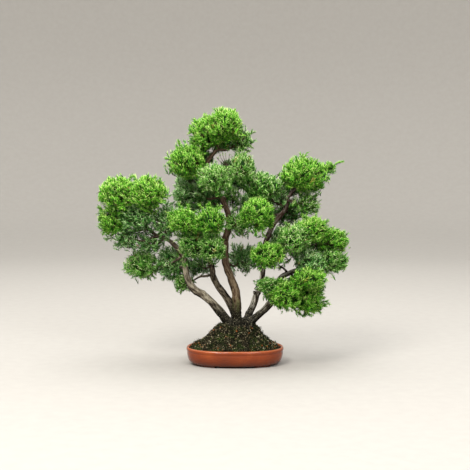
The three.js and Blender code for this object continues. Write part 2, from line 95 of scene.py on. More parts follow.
def round_turn(count):
    """Angles spread evenly over one full turn."""
    return np.arange(count) / count * math.tau


def oval(angles, power):
    """X and y on an oval of half width 1: an ellipse at power 2, and squarer above it."""
    circle = np.array([np.cos(angles), np.sin(angles)])
    return np.sign(circle) * np.abs(circle) ** (2 / power)


def level_ring(x, y, z):
    """Corners of a ring that lies level at one height."""
    return np.column_stack([x, y, np.full(len(x), z)])


def pot_ring(angles, inset, z):
    """Ring that lies an even distance inside the outline of the rim."""
    x, y = oval(angles, POT_PLAN_POWER)
    return level_ring(x * (POT_HALF_WIDTH - inset), y * (POT_HALF_DEPTH - inset), z)


def ring_faces(rings, columns):
    """Quads between neighbouring closed rings of corners."""
    return [
        (low + k, low + (k + 1) % columns, low + columns + (k + 1) % columns, low + columns + k)
        for low in range(0, (rings - 1) * columns, columns)
        for k in range(columns)
    ]


def capped_faces(rings, columns):
    """Quads between closed rings, with one flat face at both ends."""
    top = (rings - 1) * columns
    bottom_cap = tuple(range(columns - 1, -1, -1))
    top_cap = tuple(range(top, top + columns))
    return ring_faces(rings, columns) + [bottom_cap, top_cap]


def new_object(name, corners_mm, faces):
    """Object in metres from corners in millimetres."""
    mesh = bpy.data.meshes.new(name)
    mesh.from_pydata((np.asarray(corners_mm) * MM).tolist(), [], faces)
    mesh.shade_smooth()
    piece = bpy.data.objects.new(name, mesh)
    bpy.context.scene.collection.objects.link(piece)
    return piece


def settle(piece, material, slot, *replaced):
    """Gives a finished piece its material and ties it to the part's one body."""
    if material:
        piece.data.materials.append(material)
    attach(piece, "root")
    if replaced:
        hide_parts(*replaced)


def cut_or_join(piece, tool, operation):
    """Cuts a tool out of a piece, or joins it on, and throws the tool away."""
    step = piece.modifiers.new("step", "BOOLEAN")
    step.object = tool
    step.operation = operation
    step.solver = "EXACT"
    depsgraph = bpy.context.evaluated_depsgraph_get()
    worked = bpy.data.meshes.new_from_object(piece.evaluated_get(depsgraph))
    piece.modifiers.clear()
    piece.data = worked
    bpy.data.objects.remove(tool)


pot_profile = smooth_route(POT_OUTSIDE + POT_LIP + POT_INSIDE, spacing=0.8)
pot_turn = round_turn(POT_SEGMENTS)
pot_rings = [pot_ring(pot_turn, inset, z) for inset, z in pot_profile]
pot = new_object("pot_fired_clay", np.vstack(pot_rings), capped_faces(len(pot_rings), POT_SEGMENTS))
for foot_angle in FOOT_ANGLES:
    arc = np.radians(foot_angle + np.linspace(-FOOT_HALF_ANGLE, FOOT_HALF_ANGLE, FOOT_STEPS))
    foot_rings = []
    for z, tuck in FOOT_ROWS:
        outer = pot_ring(arc, FOOT_INSETS[0] + tuck, z)
        inner = pot_ring(arc, FOOT_INSETS[1] - tuck, z)[::-1]
        foot_rings.append(np.vstack([outer, inner]))
    foot_faces = capped_faces(len(foot_rings), 2 * FOOT_STEPS)
    cut_or_join(pot, new_object("foot", np.vstack(foot_rings), foot_faces), "UNION")
drain_x, drain_y = oval(round_turn(DRAIN_SIDES), 2) * DRAIN_RADIUS
for middle_x in (-DRAIN_X, DRAIN_X):
    bore = [level_ring(middle_x + drain_x, drain_y, z) for z in (BORE_BOTTOM_Z, BORE_TOP_Z)]
    cut_or_join(pot, new_object("bore", np.vstack(bore), capped_faces(2, DRAIN_SIDES)), "DIFFERENCE")
pot.data.shade_smooth()
pot.data.set_sharp_from_angle(angle=math.radians(34))


def paint(colour):
    """A colour of 0 to 255, as on a colour card, in the shader's own numbers."""
    shares = [value / 255 for value in colour]
    linear = [s / 12.92 if s <= 0.04045 else ((s + 0.055) / 1.055) ** 2.4 for s in shares]
    return (*linear, 1)


class Finish:
    """A material's node tree, built up with a few short calls."""

    def __init__(self, name, roughness, specular=0.5):
        self.material = bpy.data.materials.new(name)
        self.material.use_nodes = True
        self.nodes = self.material.node_tree.nodes
        self.links = self.material.node_tree.links
        self.shader = self.nodes["Principled BSDF"]
        self.shader.inputs["Roughness"].default_value = roughness
        self.shader.inputs["Specular IOR Level"].default_value = specular

    def place(self):
        """The place on the object, in metres."""
        return self.nodes.new("ShaderNodeTexCoord").outputs["Object"]

    def height(self):
        """The height above the ground, in metres."""
        apart = self.nodes.new("ShaderNodeSeparateXYZ")
        self.links.new(self.place(), apart.inputs[0])
        return apart.outputs["Z"]

    def kept(self, name, output="Fac"):
        """A value that the mesh carries on each corner."""
        value = self.nodes.new("ShaderNodeAttribute")
        value.attribute_name = name
        return value.outputs[output]

    def stretched(self, where, along):
        """Coordinates drawn out along the grain, which runs along Z."""
        mapping = self.nodes.new("ShaderNodeMapping")
        self.links.new(where, mapping.inputs["Vector"])
        mapping.inputs["Scale"].default_value = (1, 1, 1 / along)
        return mapping.outputs[0]

    def noise(self, where, size, detail=3, roughness=0.55):
        """Soft noise from 0 to 1 whose patches are about a size across, in metres."""
        noise = self.nodes.new("ShaderNodeTexNoise")
        self.links.new(where, noise.inputs["Vector"])
        noise.inputs["Scale"].default_value = 1 / size
        noise.inputs["Detail"].default_value = detail
        noise.inputs["Roughness"].default_value = roughness
        return noise.outputs["Fac"]

    def cells(self, where, size):
        """Distance to the middle of the nearest of many small cells."""
        cells = self.nodes.new("ShaderNodeTexVoronoi")
        self.links.new(where, cells.inputs["Vector"])
        cells.inputs["Scale"].default_value = 1 / size
        return cells.outputs["Distance"]

    def spread(self, value, low, high, new_low=0.0, new_high=1.0):
        """A value's range from low to high, stretched to a new range."""
        spread = self.nodes.new("ShaderNodeMapRange")
        self.links.new(value, spread.inputs["Value"])
        for name, number in [
            ("From Min", low), ("From Max", high), ("To Min", new_low), ("To Max", new_high)
        ]:
            spread.inputs[name].default_value = number
        return spread.outputs["Result"]

    def worked_out(self, operation, values):
        """Result of plain arithmetic on two values, each a number or another node's output."""
        math_node = self.nodes.new("ShaderNodeMath")
        math_node.operation = operation
        for socket, value in zip(math_node.inputs, values):
            if isinstance(value, (int, float)):
                socket.default_value = value
            else:
                self.links.new(value, socket)
        return math_node.outputs[0]

    def plus(self, *values):
        return self.worked_out("ADD", values)

    def times(self, *values):
        return self.worked_out("MULTIPLY", values)

    def shades(self, value, stops):
        """Colours along a value, each stop a place from 0 to 1 and a colour."""
        ramp = self.nodes.new("ShaderNodeValToRGB")
        self.links.new(value, ramp.inputs["Fac"])
        elements = ramp.color_ramp.elements
        while len(elements) < len(stops):
            elements.new(0.5)
        for element, (position, colour) in zip(elements, stops):
            element.position = position
            element.color = paint(colour)
        return ramp.outputs["Color"]

    def blend(self, share, first, second):
        """First colour where the share is 0, second where it is 1."""
        mix = self.nodes.new("ShaderNodeMix")
        mix.data_type = "RGBA"
        self.links.new(share, mix.inputs["Factor"])
        for socket, colour in zip([s for s in mix.inputs if s.type == "RGBA"], (first, second)):
            if isinstance(colour, tuple):
                socket.default_value = paint(colour)
            else:
                self.links.new(colour, socket)
        return next(s for s in mix.outputs if s.type == "RGBA")

    def colour(self, output):
        """Takes the surface's colour from another node."""
        self.links.new(output, self.shader.inputs["Base Color"])

    def roughness(self, output):
        """Takes the surface's roughness from another node."""
        self.links.new(output, self.shader.inputs["Roughness"])

    def relief(self, value, depth):
        """Bump of a depth in metres."""
        bump = self.nodes.new("ShaderNodeBump")
        bump.inputs["Distance"].default_value = depth
        self.links.new(value, bump.inputs["Height"])
        self.links.new(bump.outputs[0], self.shader.inputs["Normal"])


clay = Finish("fired_red_clay", roughness=0.25, specular=0.42)
clay_cloud = clay.noise(clay.place(), 0.03)
clay_speck = clay.noise(clay.place(), 0.0016, detail=2)
clay_shades = clay.shades(
    clay_cloud, [(0.3, (109, 43, 9)), (0.55, (124, 50, 11)), (0.75, (139, 62, 16))]
)
# Painted highlight: the top of the rim is blended towards a paler clay colour.
clay_painted_highlight = clay.times(clay.spread(clay.height(), *RIM_PAINTED_HIGHLIGHT), 0.45)
clay_colour = clay.blend(clay_painted_highlight, clay_shades, (178, 100, 54))
# Painted shade: the wall is blended towards dark clay towards the feet.
clay_painted_shade = clay.spread(clay.height(), *WALL_PAINTED_SHADE, 0, 0.6)
clay_colour = clay.blend(clay_painted_shade, clay_colour, (70, 26, 8))
clay_specks = clay.spread(clay_speck, 0.3, 0.42, 0.35, 0)
clay.colour(clay.blend(clay_specks, clay_colour, (88, 36, 16)))
clay.roughness(clay.spread(clay_cloud, 0.2, 0.8, 0.14, 0.22))
clay.relief(clay_speck, 0.0002)
settle(pot, clay.material, "pot_clay", "pot")

# Drain screens: squares of black plastic mesh pressed over the drain holes before potting. The
# soil holds them down. Their own solids are shown, with a finish of moulded plastic.
screen_finish = Finish("black_plastic_mesh", roughness=0.55)
screen_grain = screen_finish.noise(screen_finish.place(), 0.0008)
screen_finish.colour(
    screen_finish.shades(screen_grain, [(0.3, (24, 25, 23)), (0.7, (46, 47, 43))])
)
screen_finish.relief(screen_grain, 0.00005)
for node in ("drain_screen_left", "drain_screen_right"):
    screen_materials = frame["nodes"][node].data.materials
    screen_materials.clear()
    screen_materials.append(screen_finish.material)

# Soil: a dark mix of fine bark, burnt clay grains and roots. It fills the pot to just under the
# lip and is heaped up in a mound to the foot of the trunks, its skin rough with moss and crumbs.
SOIL_COLUMNS = 200
SOIL_IN_POT = [(15.1, 7.3), (10, 9.9), (7.2, 15.7), (5.9, 24.8), (9.5, 30.2)]
# Half width, half depth and height of the mound, from its foot up.
MOUND = [(51.5, 36, 44), (41.5, 30, 55), (33.5, 25, 63), (20, 15, 66.5), (5, 4, 68)]
MOUND_SHIFT_X = 3
MOUND_FOOT_Z, MOUND_TOP_Z = 30.2, 67.5
# The skin is rough from the first height, and fully so from the second.
ROUGH_FROM_Z, ROUGH_FULL_Z = 29, 35
# Height, length and seed of its swells, clods and crumbs.
SOIL_LUMPS = [(1.1, 26, 11), (0.9, 9, 12), (0.6, 3.4, 13)]
# How much the lumps push the skin up, for each step that they push it out.
LUMPS_UP = 0.8


def ripples(points, length, seed, waves=9):
    """Smooth random swell from about -1 to 1, with waves about a length long."""
    source = np.random.default_rng(seed)
    directions = source.normal(size=(waves, 3))
    directions /= np.linalg.norm(directions, axis=1, keepdims=True)
    turns = directions * (math.tau / length * source.uniform(0.7, 1.5, (waves, 1)))
    phases = source.uniform(0, math.tau, waves)
    return np.sin(np.asarray(points) @ turns.T + phases).sum(-1) / math.sqrt(waves * 1.6)


def lumps(points, kinds):
    """Ripples of several kinds added up, each kind a height, a length and a seed."""
    return sum(height * ripples(points, length, seed) for height, length, seed in kinds)


soil_turn = round_turn(SOIL_COLUMNS)
soil_profile = [
    (POT_HALF_WIDTH - inset, POT_HALF_DEPTH - inset, z, POT_PLAN_POWER) for inset, z in SOIL_IN_POT
] + [(width, depth, z, 2) for width, depth, z in MOUND]
soil_rows = []
for half_width, half_depth, z, power in smooth_route(soil_profile, spacing=1.5):
    rise = np.clip((z - MOUND_FOOT_Z) / (MOUND_TOP_Z - MOUND_FOOT_Z), 0, 1)
    x, y = oval(soil_turn, power)
    row = level_ring(MOUND_SHIFT_X * rise + x * half_width, y * half_depth, z)
    rough = np.clip((z - ROUGH_FROM_Z) / (ROUGH_FULL_Z - ROUGH_FROM_Z), 0, 1)
    soil_rows.append(row + level_ring(x, y, LUMPS_UP) * (rough * lumps(row, SOIL_LUMPS))[:, None])
soil_corners = np.vstack(soil_rows)
soil = new_object("soil_and_mound", soil_corners, capped_faces(len(soil_rows), SOIL_COLUMNS))

earth = Finish("dark_potting_mix", roughness=0.95, specular=0.03)
earth_crumbs = earth.noise(earth.place(), 0.0019, detail=4, roughness=0.7)
earth_patches = earth.noise(earth.place(), 0.014, detail=2)
earth_brown = earth.shades(
    earth_crumbs, [(0.44, (5, 5, 3)), (0.54, (29, 27, 18)), (0.65, (98, 90, 67))]
)
earth_moss = earth.shades(
    earth_crumbs, [(0.42, (5, 8, 4)), (0.54, (31, 40, 18)), (0.66, (90, 103, 54))]
)
earth.colour(earth.blend(earth.spread(earth_patches, 0.48, 0.6), earth_brown, earth_moss))
earth.relief(earth_crumbs, 0.0014)
settle(soil, earth.material, "soil", "soil_mound")

# Grains and litter: burnt clay, pumice, bark chips and fallen shoots that lie loose on the mound.
# They were tipped on by hand, so they lie at random, each sunk a little into the soil.
GRAIN_COUNT, LITTER_COUNT = 2200, 420
GRAIN_RADII = (0.4, 1.5)
# Red burnt clay shows only round the foot of the mound, where the rain has washed it clean.
BURNT_BELOW_Z, BURNT_SHARE = 37, 0.14
LITTER_HALF_LENGTHS, LITTER_HALF_THICKNESS = (1.3, 3.2), (0.34, 0.26)
GRAIN_UNEVEN = 0.14
# How high the middle of a piece of litter lies, and of a grain as a share of its radius.
LITTER_LIFT, GRAIN_LIFT = 0.5, 0.3
# Loose pieces lie only on the skin above this height, inside the lip.
OPEN_FROM_Z = 28.7


def on_mound(count, source):
    """Random places on the open skin of the mound, and the way out of the soil at each."""
    skin = soil_corners.reshape(len(soil_rows), SOIL_COLUMNS, 3)
    across = (np.roll(skin, -1, axis=1) - skin)[:-1]
    rise = skin[1:] - skin[:-1]
    out = np.cross(across, rise)
    size = np.linalg.norm(out, axis=-1)
    chance = np.where(skin[:-1, :, 2] > OPEN_FROM_Z, size, 0).ravel()
    picked = source.choice(len(chance), count, p=chance / chance.sum())
    foot, out = skin[:-1].reshape(-1, 3)[picked], (out / size[..., None]).reshape(-1, 3)[picked]
    sides = source.uniform(0, 1, (2, count, 1))
    foot = foot + across.reshape(-1, 3)[picked] * sides[0] + rise.reshape(-1, 3)[picked] * sides[1]
    return foot, out


def any_turn(source):
    """A random rotation."""
    turn, _ = np.linalg.qr(source.normal(size=(3, 3)))
    return turn * np.sign(np.linalg.det(turn))


def keep_on_corners(piece, name, values):
    """Stores a value on each corner of a piece, for its finish to read."""
    piece.data.attributes.new(name, "FLOAT", "POINT").data.foreach_set("value", values)


def ball(subdivisions):
    """Corners and faces of a ball of radius 1, made of even triangles."""
    shape = bmesh.new()
    bmesh.ops.create_icosphere(shape, subdivisions=subdivisions, radius=1)
    corners = np.array([corner.co for corner in shape.verts])
    faces = np.array([[corner.index for corner in face.verts] for face in shape.faces])
    shape.free()
    return corners, faces


grain_corners, grain_faces = ball(subdivisions=1)
grain_source = np.random.default_rng(31)
grain_feet, grain_ways = on_mound(GRAIN_COUNT + LITTER_COUNT, grain_source)
pale_patches = 0.5 + 0.42 * ripples(grain_feet, 15, 32)
loose_corners, loose_faces, loose_tints = [], [], []
for number, (foot, way) in enumerate(zip(grain_feet, grain_ways)):
    is_litter = number >= GRAIN_COUNT
    if is_litter:
        half_sizes = np.array([grain_source.uniform(*LITTER_HALF_LENGTHS), *LITTER_HALF_THICKNESS])
        lift = LITTER_LIFT
    else:
        low, high = GRAIN_RADII
        radius = low + (high - low) * grain_source.random() ** 2
        half_sizes = radius * grain_source.uniform(0.65, 1.1, 3)
        lift = GRAIN_LIFT * radius
    uneven = 1 + grain_source.normal(0, GRAIN_UNEVEN, (len(grain_corners), 1))
    shape = grain_corners * uneven * half_sizes
    loose_corners.append(foot + way * lift + shape @ any_turn(grain_source))
    loose_faces.append(grain_faces + number * len(grain_corners))
    tint = np.clip(grain_source.random() * (0.4 + pale_patches[number]), 0, 1)
    if is_litter:
        tint = 0.56 + 0.42 * grain_source.random() ** 2
    elif foot[2] < BURNT_BELOW_Z and grain_source.random() < BURNT_SHARE:
        tint = 1.0
    loose_tints.append(np.full(len(grain_corners), tint))
grains = new_object("grains_and_litter", np.vstack(loose_corners), np.vstack(loose_faces).tolist())
grains.data.shade_flat()
keep_on_corners(grains, "tint", np.concatenate(loose_tints))

grain = Finish("loose_grains", roughness=0.85, specular=0.1)
grain_kinds = grain.shades(
    grain.kept("tint"),
    [
        (0.0, (5, 5, 3)), (0.3, (18, 16, 11)), (0.48, (49, 45, 31)),
        (0.62, (101, 96, 72)), (0.78, (145, 136, 107)), (0.93, (188, 181, 152)),
        (1.0, (159, 89, 43)),
    ],
)
grain_mottle = grain.noise(grain.place(), 0.0009)
grain.colour(grain.blend(grain.spread(grain_mottle, 0.4, 0.7, 0, 0.5), grain_kinds, (24, 21, 14)))
grain.relief(grain_mottle, 0.0002)
settle(grains, grain.material, "soil")

# Moss: small cushions of short green shoots that took hold in the damp parts of the mound. Their
# feet grip the crumbs of its skin.
TUFT_COUNT, BLADES_IN_TUFT = 620, 8
BLADE_LENGTHS, BLADE_RADII = (1.2, 2.8), (0.28, 0.46)
TUFT_SPREAD, BLADE_LEAN, BLADE_SUNK = 1.1, 1.2, 0.4
CORD_SIDES = 3


def cord(path, radii, ages):
    """Tapering cord with corners round each point of its path and a pointed end."""
    path = np.asarray(path, float)
    along = np.gradient(path, axis=0)
    along /= np.linalg.norm(along, axis=1, keepdims=True)
    across = np.cross(along, (0.31, 0.87, 0.38))
    across /= np.linalg.norm(across, axis=1, keepdims=True)
    third = np.cross(along, across)
    turn = round_turn(CORD_SIDES)[None, :, None]
    out = np.cos(turn) * across[:-1, None] + np.sin(turn) * third[:-1, None]
    rings = path[:-1, None] + out * np.asarray(radii, float)[:, None, None]
    corners = np.vstack([rings.reshape(-1, 3), path[-1:]])
    values = np.append(np.repeat(ages[:-1], CORD_SIDES), ages[-1])
    faces = [tuple(range(CORD_SIDES))[::-1]]
    last = (len(path) - 2) * CORD_SIDES
    for low in range(0, last, CORD_SIDES):
        for k in range(CORD_SIDES):
            a, b = low + k, low + (k + 1) % CORD_SIDES
            faces += [(a, b, b + CORD_SIDES), (a, b + CORD_SIDES, a + CORD_SIDES)]
    faces += [(last + k, last + (k + 1) % CORD_SIDES, len(corners) - 1) for k in range(CORD_SIDES)]
    return corners, values, np.array(faces)


def bundle(cords):
    """Several cords as one set of corners, values and faces."""
    starts = np.cumsum([0] + [len(corners) for corners, _, _ in cords])
    return (
        np.vstack([corners for corners, _, _ in cords]),
        np.concatenate([values for _, values, _ in cords]),
        np.vstack([faces + start for (_, _, faces), start in zip(cords, starts)]),
    )


moss_source = np.random.default_rng(57)
tuft_feet, tuft_ways = on_mound(TUFT_COUNT * 3, moss_source)
damp = np.argsort(-ripples(tuft_feet, 17, 58))[:TUFT_COUNT]
blades = []
for foot, way in zip(tuft_feet[damp], tuft_ways[damp]):
    for _ in range(BLADES_IN_TUFT):
        start = foot + moss_source.normal(0, TUFT_SPREAD, 3) - way * BLADE_SUNK
        rise = way * moss_source.uniform(*BLADE_LENGTHS)
        tip = start + rise + moss_source.normal(0, BLADE_LEAN, 3)
        bright = moss_source.uniform(0.35, 1.05)
        blades.append(cord((start, tip), (moss_source.uniform(*BLADE_RADII),), (0.0, bright)))
moss_corners, moss_ages, moss_faces = bundle(blades)
moss = new_object("moss_tufts", moss_corners, moss_faces.tolist())
keep_on_corners(moss, "age", moss_ages)
moss_finish = Finish("damp_moss", roughness=0.75, specular=0.08)
moss_lengthwise = moss_finish.shades(
    moss_finish.kept("age"), [(0.1, (7, 11, 5)), (0.5, (34, 49, 20)), (1.0, (116, 130, 72))]
)
moss_patches = moss_finish.noise(moss_finish.place(), 0.006)
moss_finish.colour(
    moss_finish.blend(moss_finish.spread(moss_patches, 0.4, 0.65, 0, 0.7), moss_lengthwise, (36, 40, 18))
)
settle(moss, moss_finish.material, "soil")

# Wood: five trunks that grew as a clump from one old root crown, thinning and turning as they
# were wired, with the branches that carry the foliage, dead stubs and roots at the surface. The
# bark is thin, stringy and grey, painted paler on the side that faces the light, and green with
# moss near the ground.

# Each station is x, y, z and the trunk's radius there.
TRUNKS = {
    "left": [
        (-1, -1, 64, 9), (-13, -2, 73, 8.2), (-23, -6, 86, 7.1), (-39, -10, 104, 6.6),
        (-54, -12, 118, 6.5), (-70, -12, 129, 6.2), (-78, -10, 142, 5.6), (-84, -6, 164, 4.8),
        (-86, -4, 180, 4.4), (-95, -4, 194, 4), (-105, -4, 204, 3.6), (-116, -2, 211, 3),
        (-129, 0, 215, 2.7), (-143, 2, 226, 2.4), (-155, 4, 242, 2.1), (-164, 6, 259, 1.6),
    ],
    "second": [
        (3, 5, 64, 8), (1, 6, 75, 7.2), (-4, 10, 90, 6.2), (-13, 14, 108, 6), (-28, 14, 128, 5.5),
        (-37, 12, 145, 5.2), (-39, 8, 162, 4.2), (-44, 0, 178, 3.6), (-50, -8, 198, 3),
        (-60, -16, 220, 2.2),
    ],
    "tall": [
        (6, 0, 64, 11), (4, 0, 74, 9), (2, -2, 88, 7.7), (3, -3, 104, 7.1), (0, -3, 126, 7),
        (-7, -2, 147, 6.4), (-15, 0, 167, 6), (-17, 2, 188, 5.8), (-16, 2, 209, 5.7),
        (-11, 2, 227, 5.2), (-10, 2, 244, 4.9), (-15, 3, 262, 4.5), (-23, 4, 279, 4.1),
        (-35, 6, 296, 3.8), (-44, 6, 314, 3.5), (-47, 5, 331, 3.3), (-43, 3, 344, 3.3),
        (-32, 2, 358, 3.1), (-27, 3, 372, 2.4), (-25, 3, 386, 1.7),
    ],
    "fourth": [
        (13, 3, 64, 8), (20, 3, 74, 6.8), (25, 4, 86, 5.9), (32, 7, 100, 5.6), (37, 10, 116, 5.4),
        (44, 12, 133, 4.3), (47, 12, 153, 4.2), (48, 12, 177, 4.2), (50, 12, 198, 4.4),
        (56, 11, 215, 4.3), (64, 10, 233, 4.3), (76, 9, 249, 4.2), (86, 8, 262, 3.7),
        (87, 8, 275, 3.2), (94, 8, 287, 3), (104, 6, 299, 2.7), (110, 4, 314, 1.9),
    ],
    "right": [
        (16, -2, 64, 8), (27, -4, 72, 7.2), (37, -6, 80.5, 6.2), (49, -9, 92.5, 5.6),
        (59, -10, 104, 5.6), (65, -8, 119, 5), (69, -5, 133, 4.5), (77, -3, 146, 4.3),
        (92, -2, 154, 4), (107, -2, 160, 3.6), (116, -3, 172, 3.2), (129, -4, 186, 2.9),
        (135, -6, 200, 2.5), (137, -9, 216, 1.8),
    ],
}
# Short dead stubs, and branches whose bare part shows, as stations too.
BARE_BRANCHES = {
    "right": [[(63, -8, 113, 3.4), (61, -11, 121, 2.4), (54, -13, 123.5, 1.2)],
              [(88, -2, 153, 2.6), (83, -6, 160, 1.8), (74, -10, 167, 1.1)]],
    "fourth": [[(36, 8, 115, 3.6), (33, 5, 119, 2.8), (32, 3, 121, 2.2)]],
    "second": [[(-38, 12, 149, 2.8), (-50, 15, 146, 2.2), (-59, 17, 145, 1.8), (-68, 19, 140, 1.5),
                (-80, 20, 132, 1.1)]],
}
# The foliage heads that each trunk's branches carry, under the number of the station they leave.
HEADS_ON = {
    "left": {
        6: ["low_left_drop"], 7: ["low_left_inner"], 8: ["low_left_tip"], 11: ["left_crook"],
        12: ["left_under", "left_elbow"], 13: ["left_middle", "left_outer"],
        14: ["left_top_outer", "left_top_inner", "left_rear"],
    },
    "second": {
        6: ["mid_back", "mid_under"], 7: ["mid_low_right"], 8: ["mid_low_left"],
        9: ["mid_top_left", "mid_top_right"],
    },
    "tall": {
        6: ["fan_back"], 9: ["heart_left"], 11: ["shade_inner"], 12: ["shade_left", "shoulder_low"],
        13: ["shoulder_back"], 14: ["spur_inner", "shoulder_right", "shoulder_front"],
        15: ["spur_left"], 17: ["crown_back", "spur_right"], 18: ["crown_left", "crown_right"],
    },
    "fourth": {
        7: ["fan_front"], 9: ["wing_inner"], 10: ["heart_front"], 11: ["heart_back"],
        12: ["heart_top", "heart_right", "peak_inner"], 13: ["peak_under"], 14: ["peak_back"],
        15: ["peak_left", "peak_right", "peak_tip"],
    },
    "right": {
        6: ["skirt_tip"], 7: ["skirt_left"], 8: ["skirt_back"],
        9: ["wing_under", "skirt_top", "skirt_right"], 10: ["wing_low_inner"], 11: ["wing_low"],
        12: ["wing_left", "wing_right", "wing_back"], 13: ["wing_top"],
    },
}
# Thin bare twigs that stand in the gap under the crown: their foot, their fork, their tips, and
# the head that the tufts at their tips are part of.
FAN_FOOT, FAN_FORK = (-8, -8, 314), (-13, -6, 331)
FAN_HEAD = "shoulder_front"
FAN_TIPS = [(-31, -8, 347), (-26, 0, 351), (-21, -10, 354), (-16, 2, 353), (-9, -8, 352), (-4, 4, 348)]
TRUNK_SIDES, TRUNK_STEP = 36, 1.6
STUB_SIDES, STUB_STEP = 14, 1.5
BRANCH_SIDES, BRANCH_STEP = 8, 4
ROOT_SIDES, ROOT_STEP = 18, 1.5
TWIG_SIDES, TWIG_STEP = 5, 3
BRANCH_START_RADIUS, BRANCH_END_RADIUS = 2.2, 1.2
# A branch ends a little short of the middle of its head, and sags by a share of its length.
BRANCH_END_GAP = 4
BRANCH_SAG_SHARE, MOST_SAG = 0.12, 10
# How far the broad flutes, fine ribs and lumps of a limb stand out, and how deep its bark splits,
# as shares of its radius.
FLUTES, FLUTE_SHARE = 3, 0.06
RIBS, RIB_SHARE = 7, 0.04
LUMP_SHARE, CRACK_SHARE, CRACK_WIDTH = 0.055, 0.09, 0.26
# Length over which the grain winds round a limb by one radian.
GRAIN_TWIST = 85
KNOTS_PER_METRE = 80
KNOT_SHARES, KNOT_LENGTHS, KNOT_HALF_ANGLE = (0.1, 0.24), (2.5, 5), 0.5
CROWN_MIDDLE = (7, 1)
CROWN_HALF_SIZES = (28, 19)
CROWN_LEVELS = [(49, 0.84), (54, 0.94), (60, 1), (65, 0.92), (69, 0.8), (73, 0.62), (76, 0.4)]
CROWN_SIDES = 96
CROWN_CORE_Z = 60
CROWN_LUMPS = [(1.6, 8, 150), (0.9, 3.2, 152)]
# Roots at the surface: the way each runs, how far, and how thick it starts. All dip alike: a
# share of the reach, the height there, and a share of the thickness.
ROOTS = [
    (196, 13, 5), (214, 9, 3.6), (236, 12, 4.4), (258, 11, 5), (279, 9, 3.8), (301, 12, 4.6),
    (322, 12, 5), (343, 8, 3.6), (30, 11, 5), (70, 8, 3.8), (112, 12, 5), (152, 9, 4),
]
ROOT_DIP = [(-0.7, 73, 0.9), (-0.3, 70, 1), (0.35, 64, 0.7), (1, 56, 0.36)]


def along_route(route):
    """Length run at each point of a route, and the direction there."""
    steps = np.diff(route[:, :3], axis=0)
    run = np.concatenate([[0], np.cumsum(np.linalg.norm(steps, axis=1))])
    along = np.gradient(route[:, :3], axis=0)
    return run, along / np.linalg.norm(along, axis=1, keepdims=True)


def side_frames(along):
    """Two directions across a route at each point, which turn with it and never twist."""
    first = []
    side = np.eye(3)[np.argmin(np.abs(along[0]))]
    for direction in along:
        side = side - direction * (side @ direction)
        side = side / np.linalg.norm(side)
        first.append(side)
    first = np.array(first)
    return first, np.cross(along, first)


def bark_tube(route, sides, seed, lump=1.0):
    """Limb with stringy, split bark and knots: corners, faces, place in the grain, way out, cracks."""
    source = np.random.default_rng(seed)
    run, along = along_route(route)
    first, second = side_frames(along)
    angle = round_turn(sides)[None, :]
    twist = run[:, None] / GRAIN_TWIST + source.uniform(0, math.tau)
    thick = route[:, 3][:, None] + 0 * angle
    place = np.stack([np.cos(angle) * thick, np.sin(angle) * thick, run[:, None] + 0 * angle], -1)
    swell = FLUTE_SHARE * np.sin(FLUTES * (angle + twist) + run[:, None] / 19)
    swell = swell + RIB_SHARE * np.sin(RIBS * (angle + twist) + 1.3 * np.sin(run[:, None] / 11))
    swell = swell + lump * LUMP_SHARE * ripples(place, 17, seed + 1)
    strips = ripples(place * (1, 1, 0.22), 5.5, seed + 2)
    crack = np.exp(-((strips / CRACK_WIDTH) ** 2))
    swell = swell - lump * CRACK_SHARE * crack
    for _ in range(round(run[-1] * KNOTS_PER_METRE * MM * lump)):
        knot_run, knot_angle = source.uniform(0, run[-1]), source.uniform(0, math.tau)
        turned = np.abs((angle - knot_angle + math.pi) % math.tau - math.pi)
        apart = (run[:, None] - knot_run) / source.uniform(*KNOT_LENGTHS)
        near = apart**2 + (turned / KNOT_HALF_ANGLE) ** 2
        swell = swell + source.uniform(*KNOT_SHARES) * np.exp(-near)
    out = np.cos(angle)[..., None] * first[:, None] + np.sin(angle)[..., None] * second[:, None]
    corners = route[:, None, :3] + out * (thick * (1 + swell))[..., None]
    corners, place, out = [values.reshape(-1, 3) for values in (corners, place, out)]
    return corners, capped_faces(len(route), sides), place, out, crack.ravel()


def middle_of(head):
    """The middle of a foliage head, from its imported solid."""
    low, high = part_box(f"foliage_{head}")
    return (np.array(low) + np.array(high)) / 2 / MM


def head_branch(trunk, station, middle):
    """Route of the branch from a trunk to the middle of a head, sagging a little."""
    start = np.array(TRUNKS[trunk][station], float)
    across = middle - start[:3]
    length = np.linalg.norm(across)
    end = middle - across * (BRANCH_END_GAP / length)
    sag = min(BRANCH_SAG_SHARE * length, MOST_SAG)
    bend = (start[:3] + end) / 2 - (0, 0, sag)
    thick = min(BRANCH_START_RADIUS, start[3] * 0.85)
    collar = start[:3] + across * (min(start[3] + 2.5, 0.3 * length) / length)
    stations = [
        (*start[:3], thick * 1.5), (*collar, thick * 1.1), (*bend, (thick + BRANCH_END_RADIUS) / 2),
        (*end, BRANCH_END_RADIUS),
    ]
    return smooth_route(stations, BRANCH_STEP)


# The bark of each trunk: its dark, middle and light colours, how far moss climbs it, and the
# side on which it is painted paler, as painted light from that side.
BARKS = {
    "left": ((58, 51, 42), (99, 91, 77), (143, 136, 118), 0.088, (0.1, -0.4, 1)),
    "second": ((33, 28, 24), (67, 59, 49), (116, 106, 89), 0.102, (-0.6, -0.6, 0.6)),
    "tall": ((42, 31, 24), (84, 67, 52), (125, 109, 87), 0.13, (0.3, -0.9, 0.2)),
    "fourth": ((36, 29, 24), (87, 80, 70), (176, 172, 161), 0.09, (-1, -0.5, 0.1)),
    "right": ((38, 31, 25), (98, 90, 78), (179, 175, 161), 0.088, (-0.6, -0.4, 0.9)),
    "crown": ((6, 6, 5), (14, 14, 10), (87, 83, 67), 0.062, (0, -0.6, 0.8)),
}
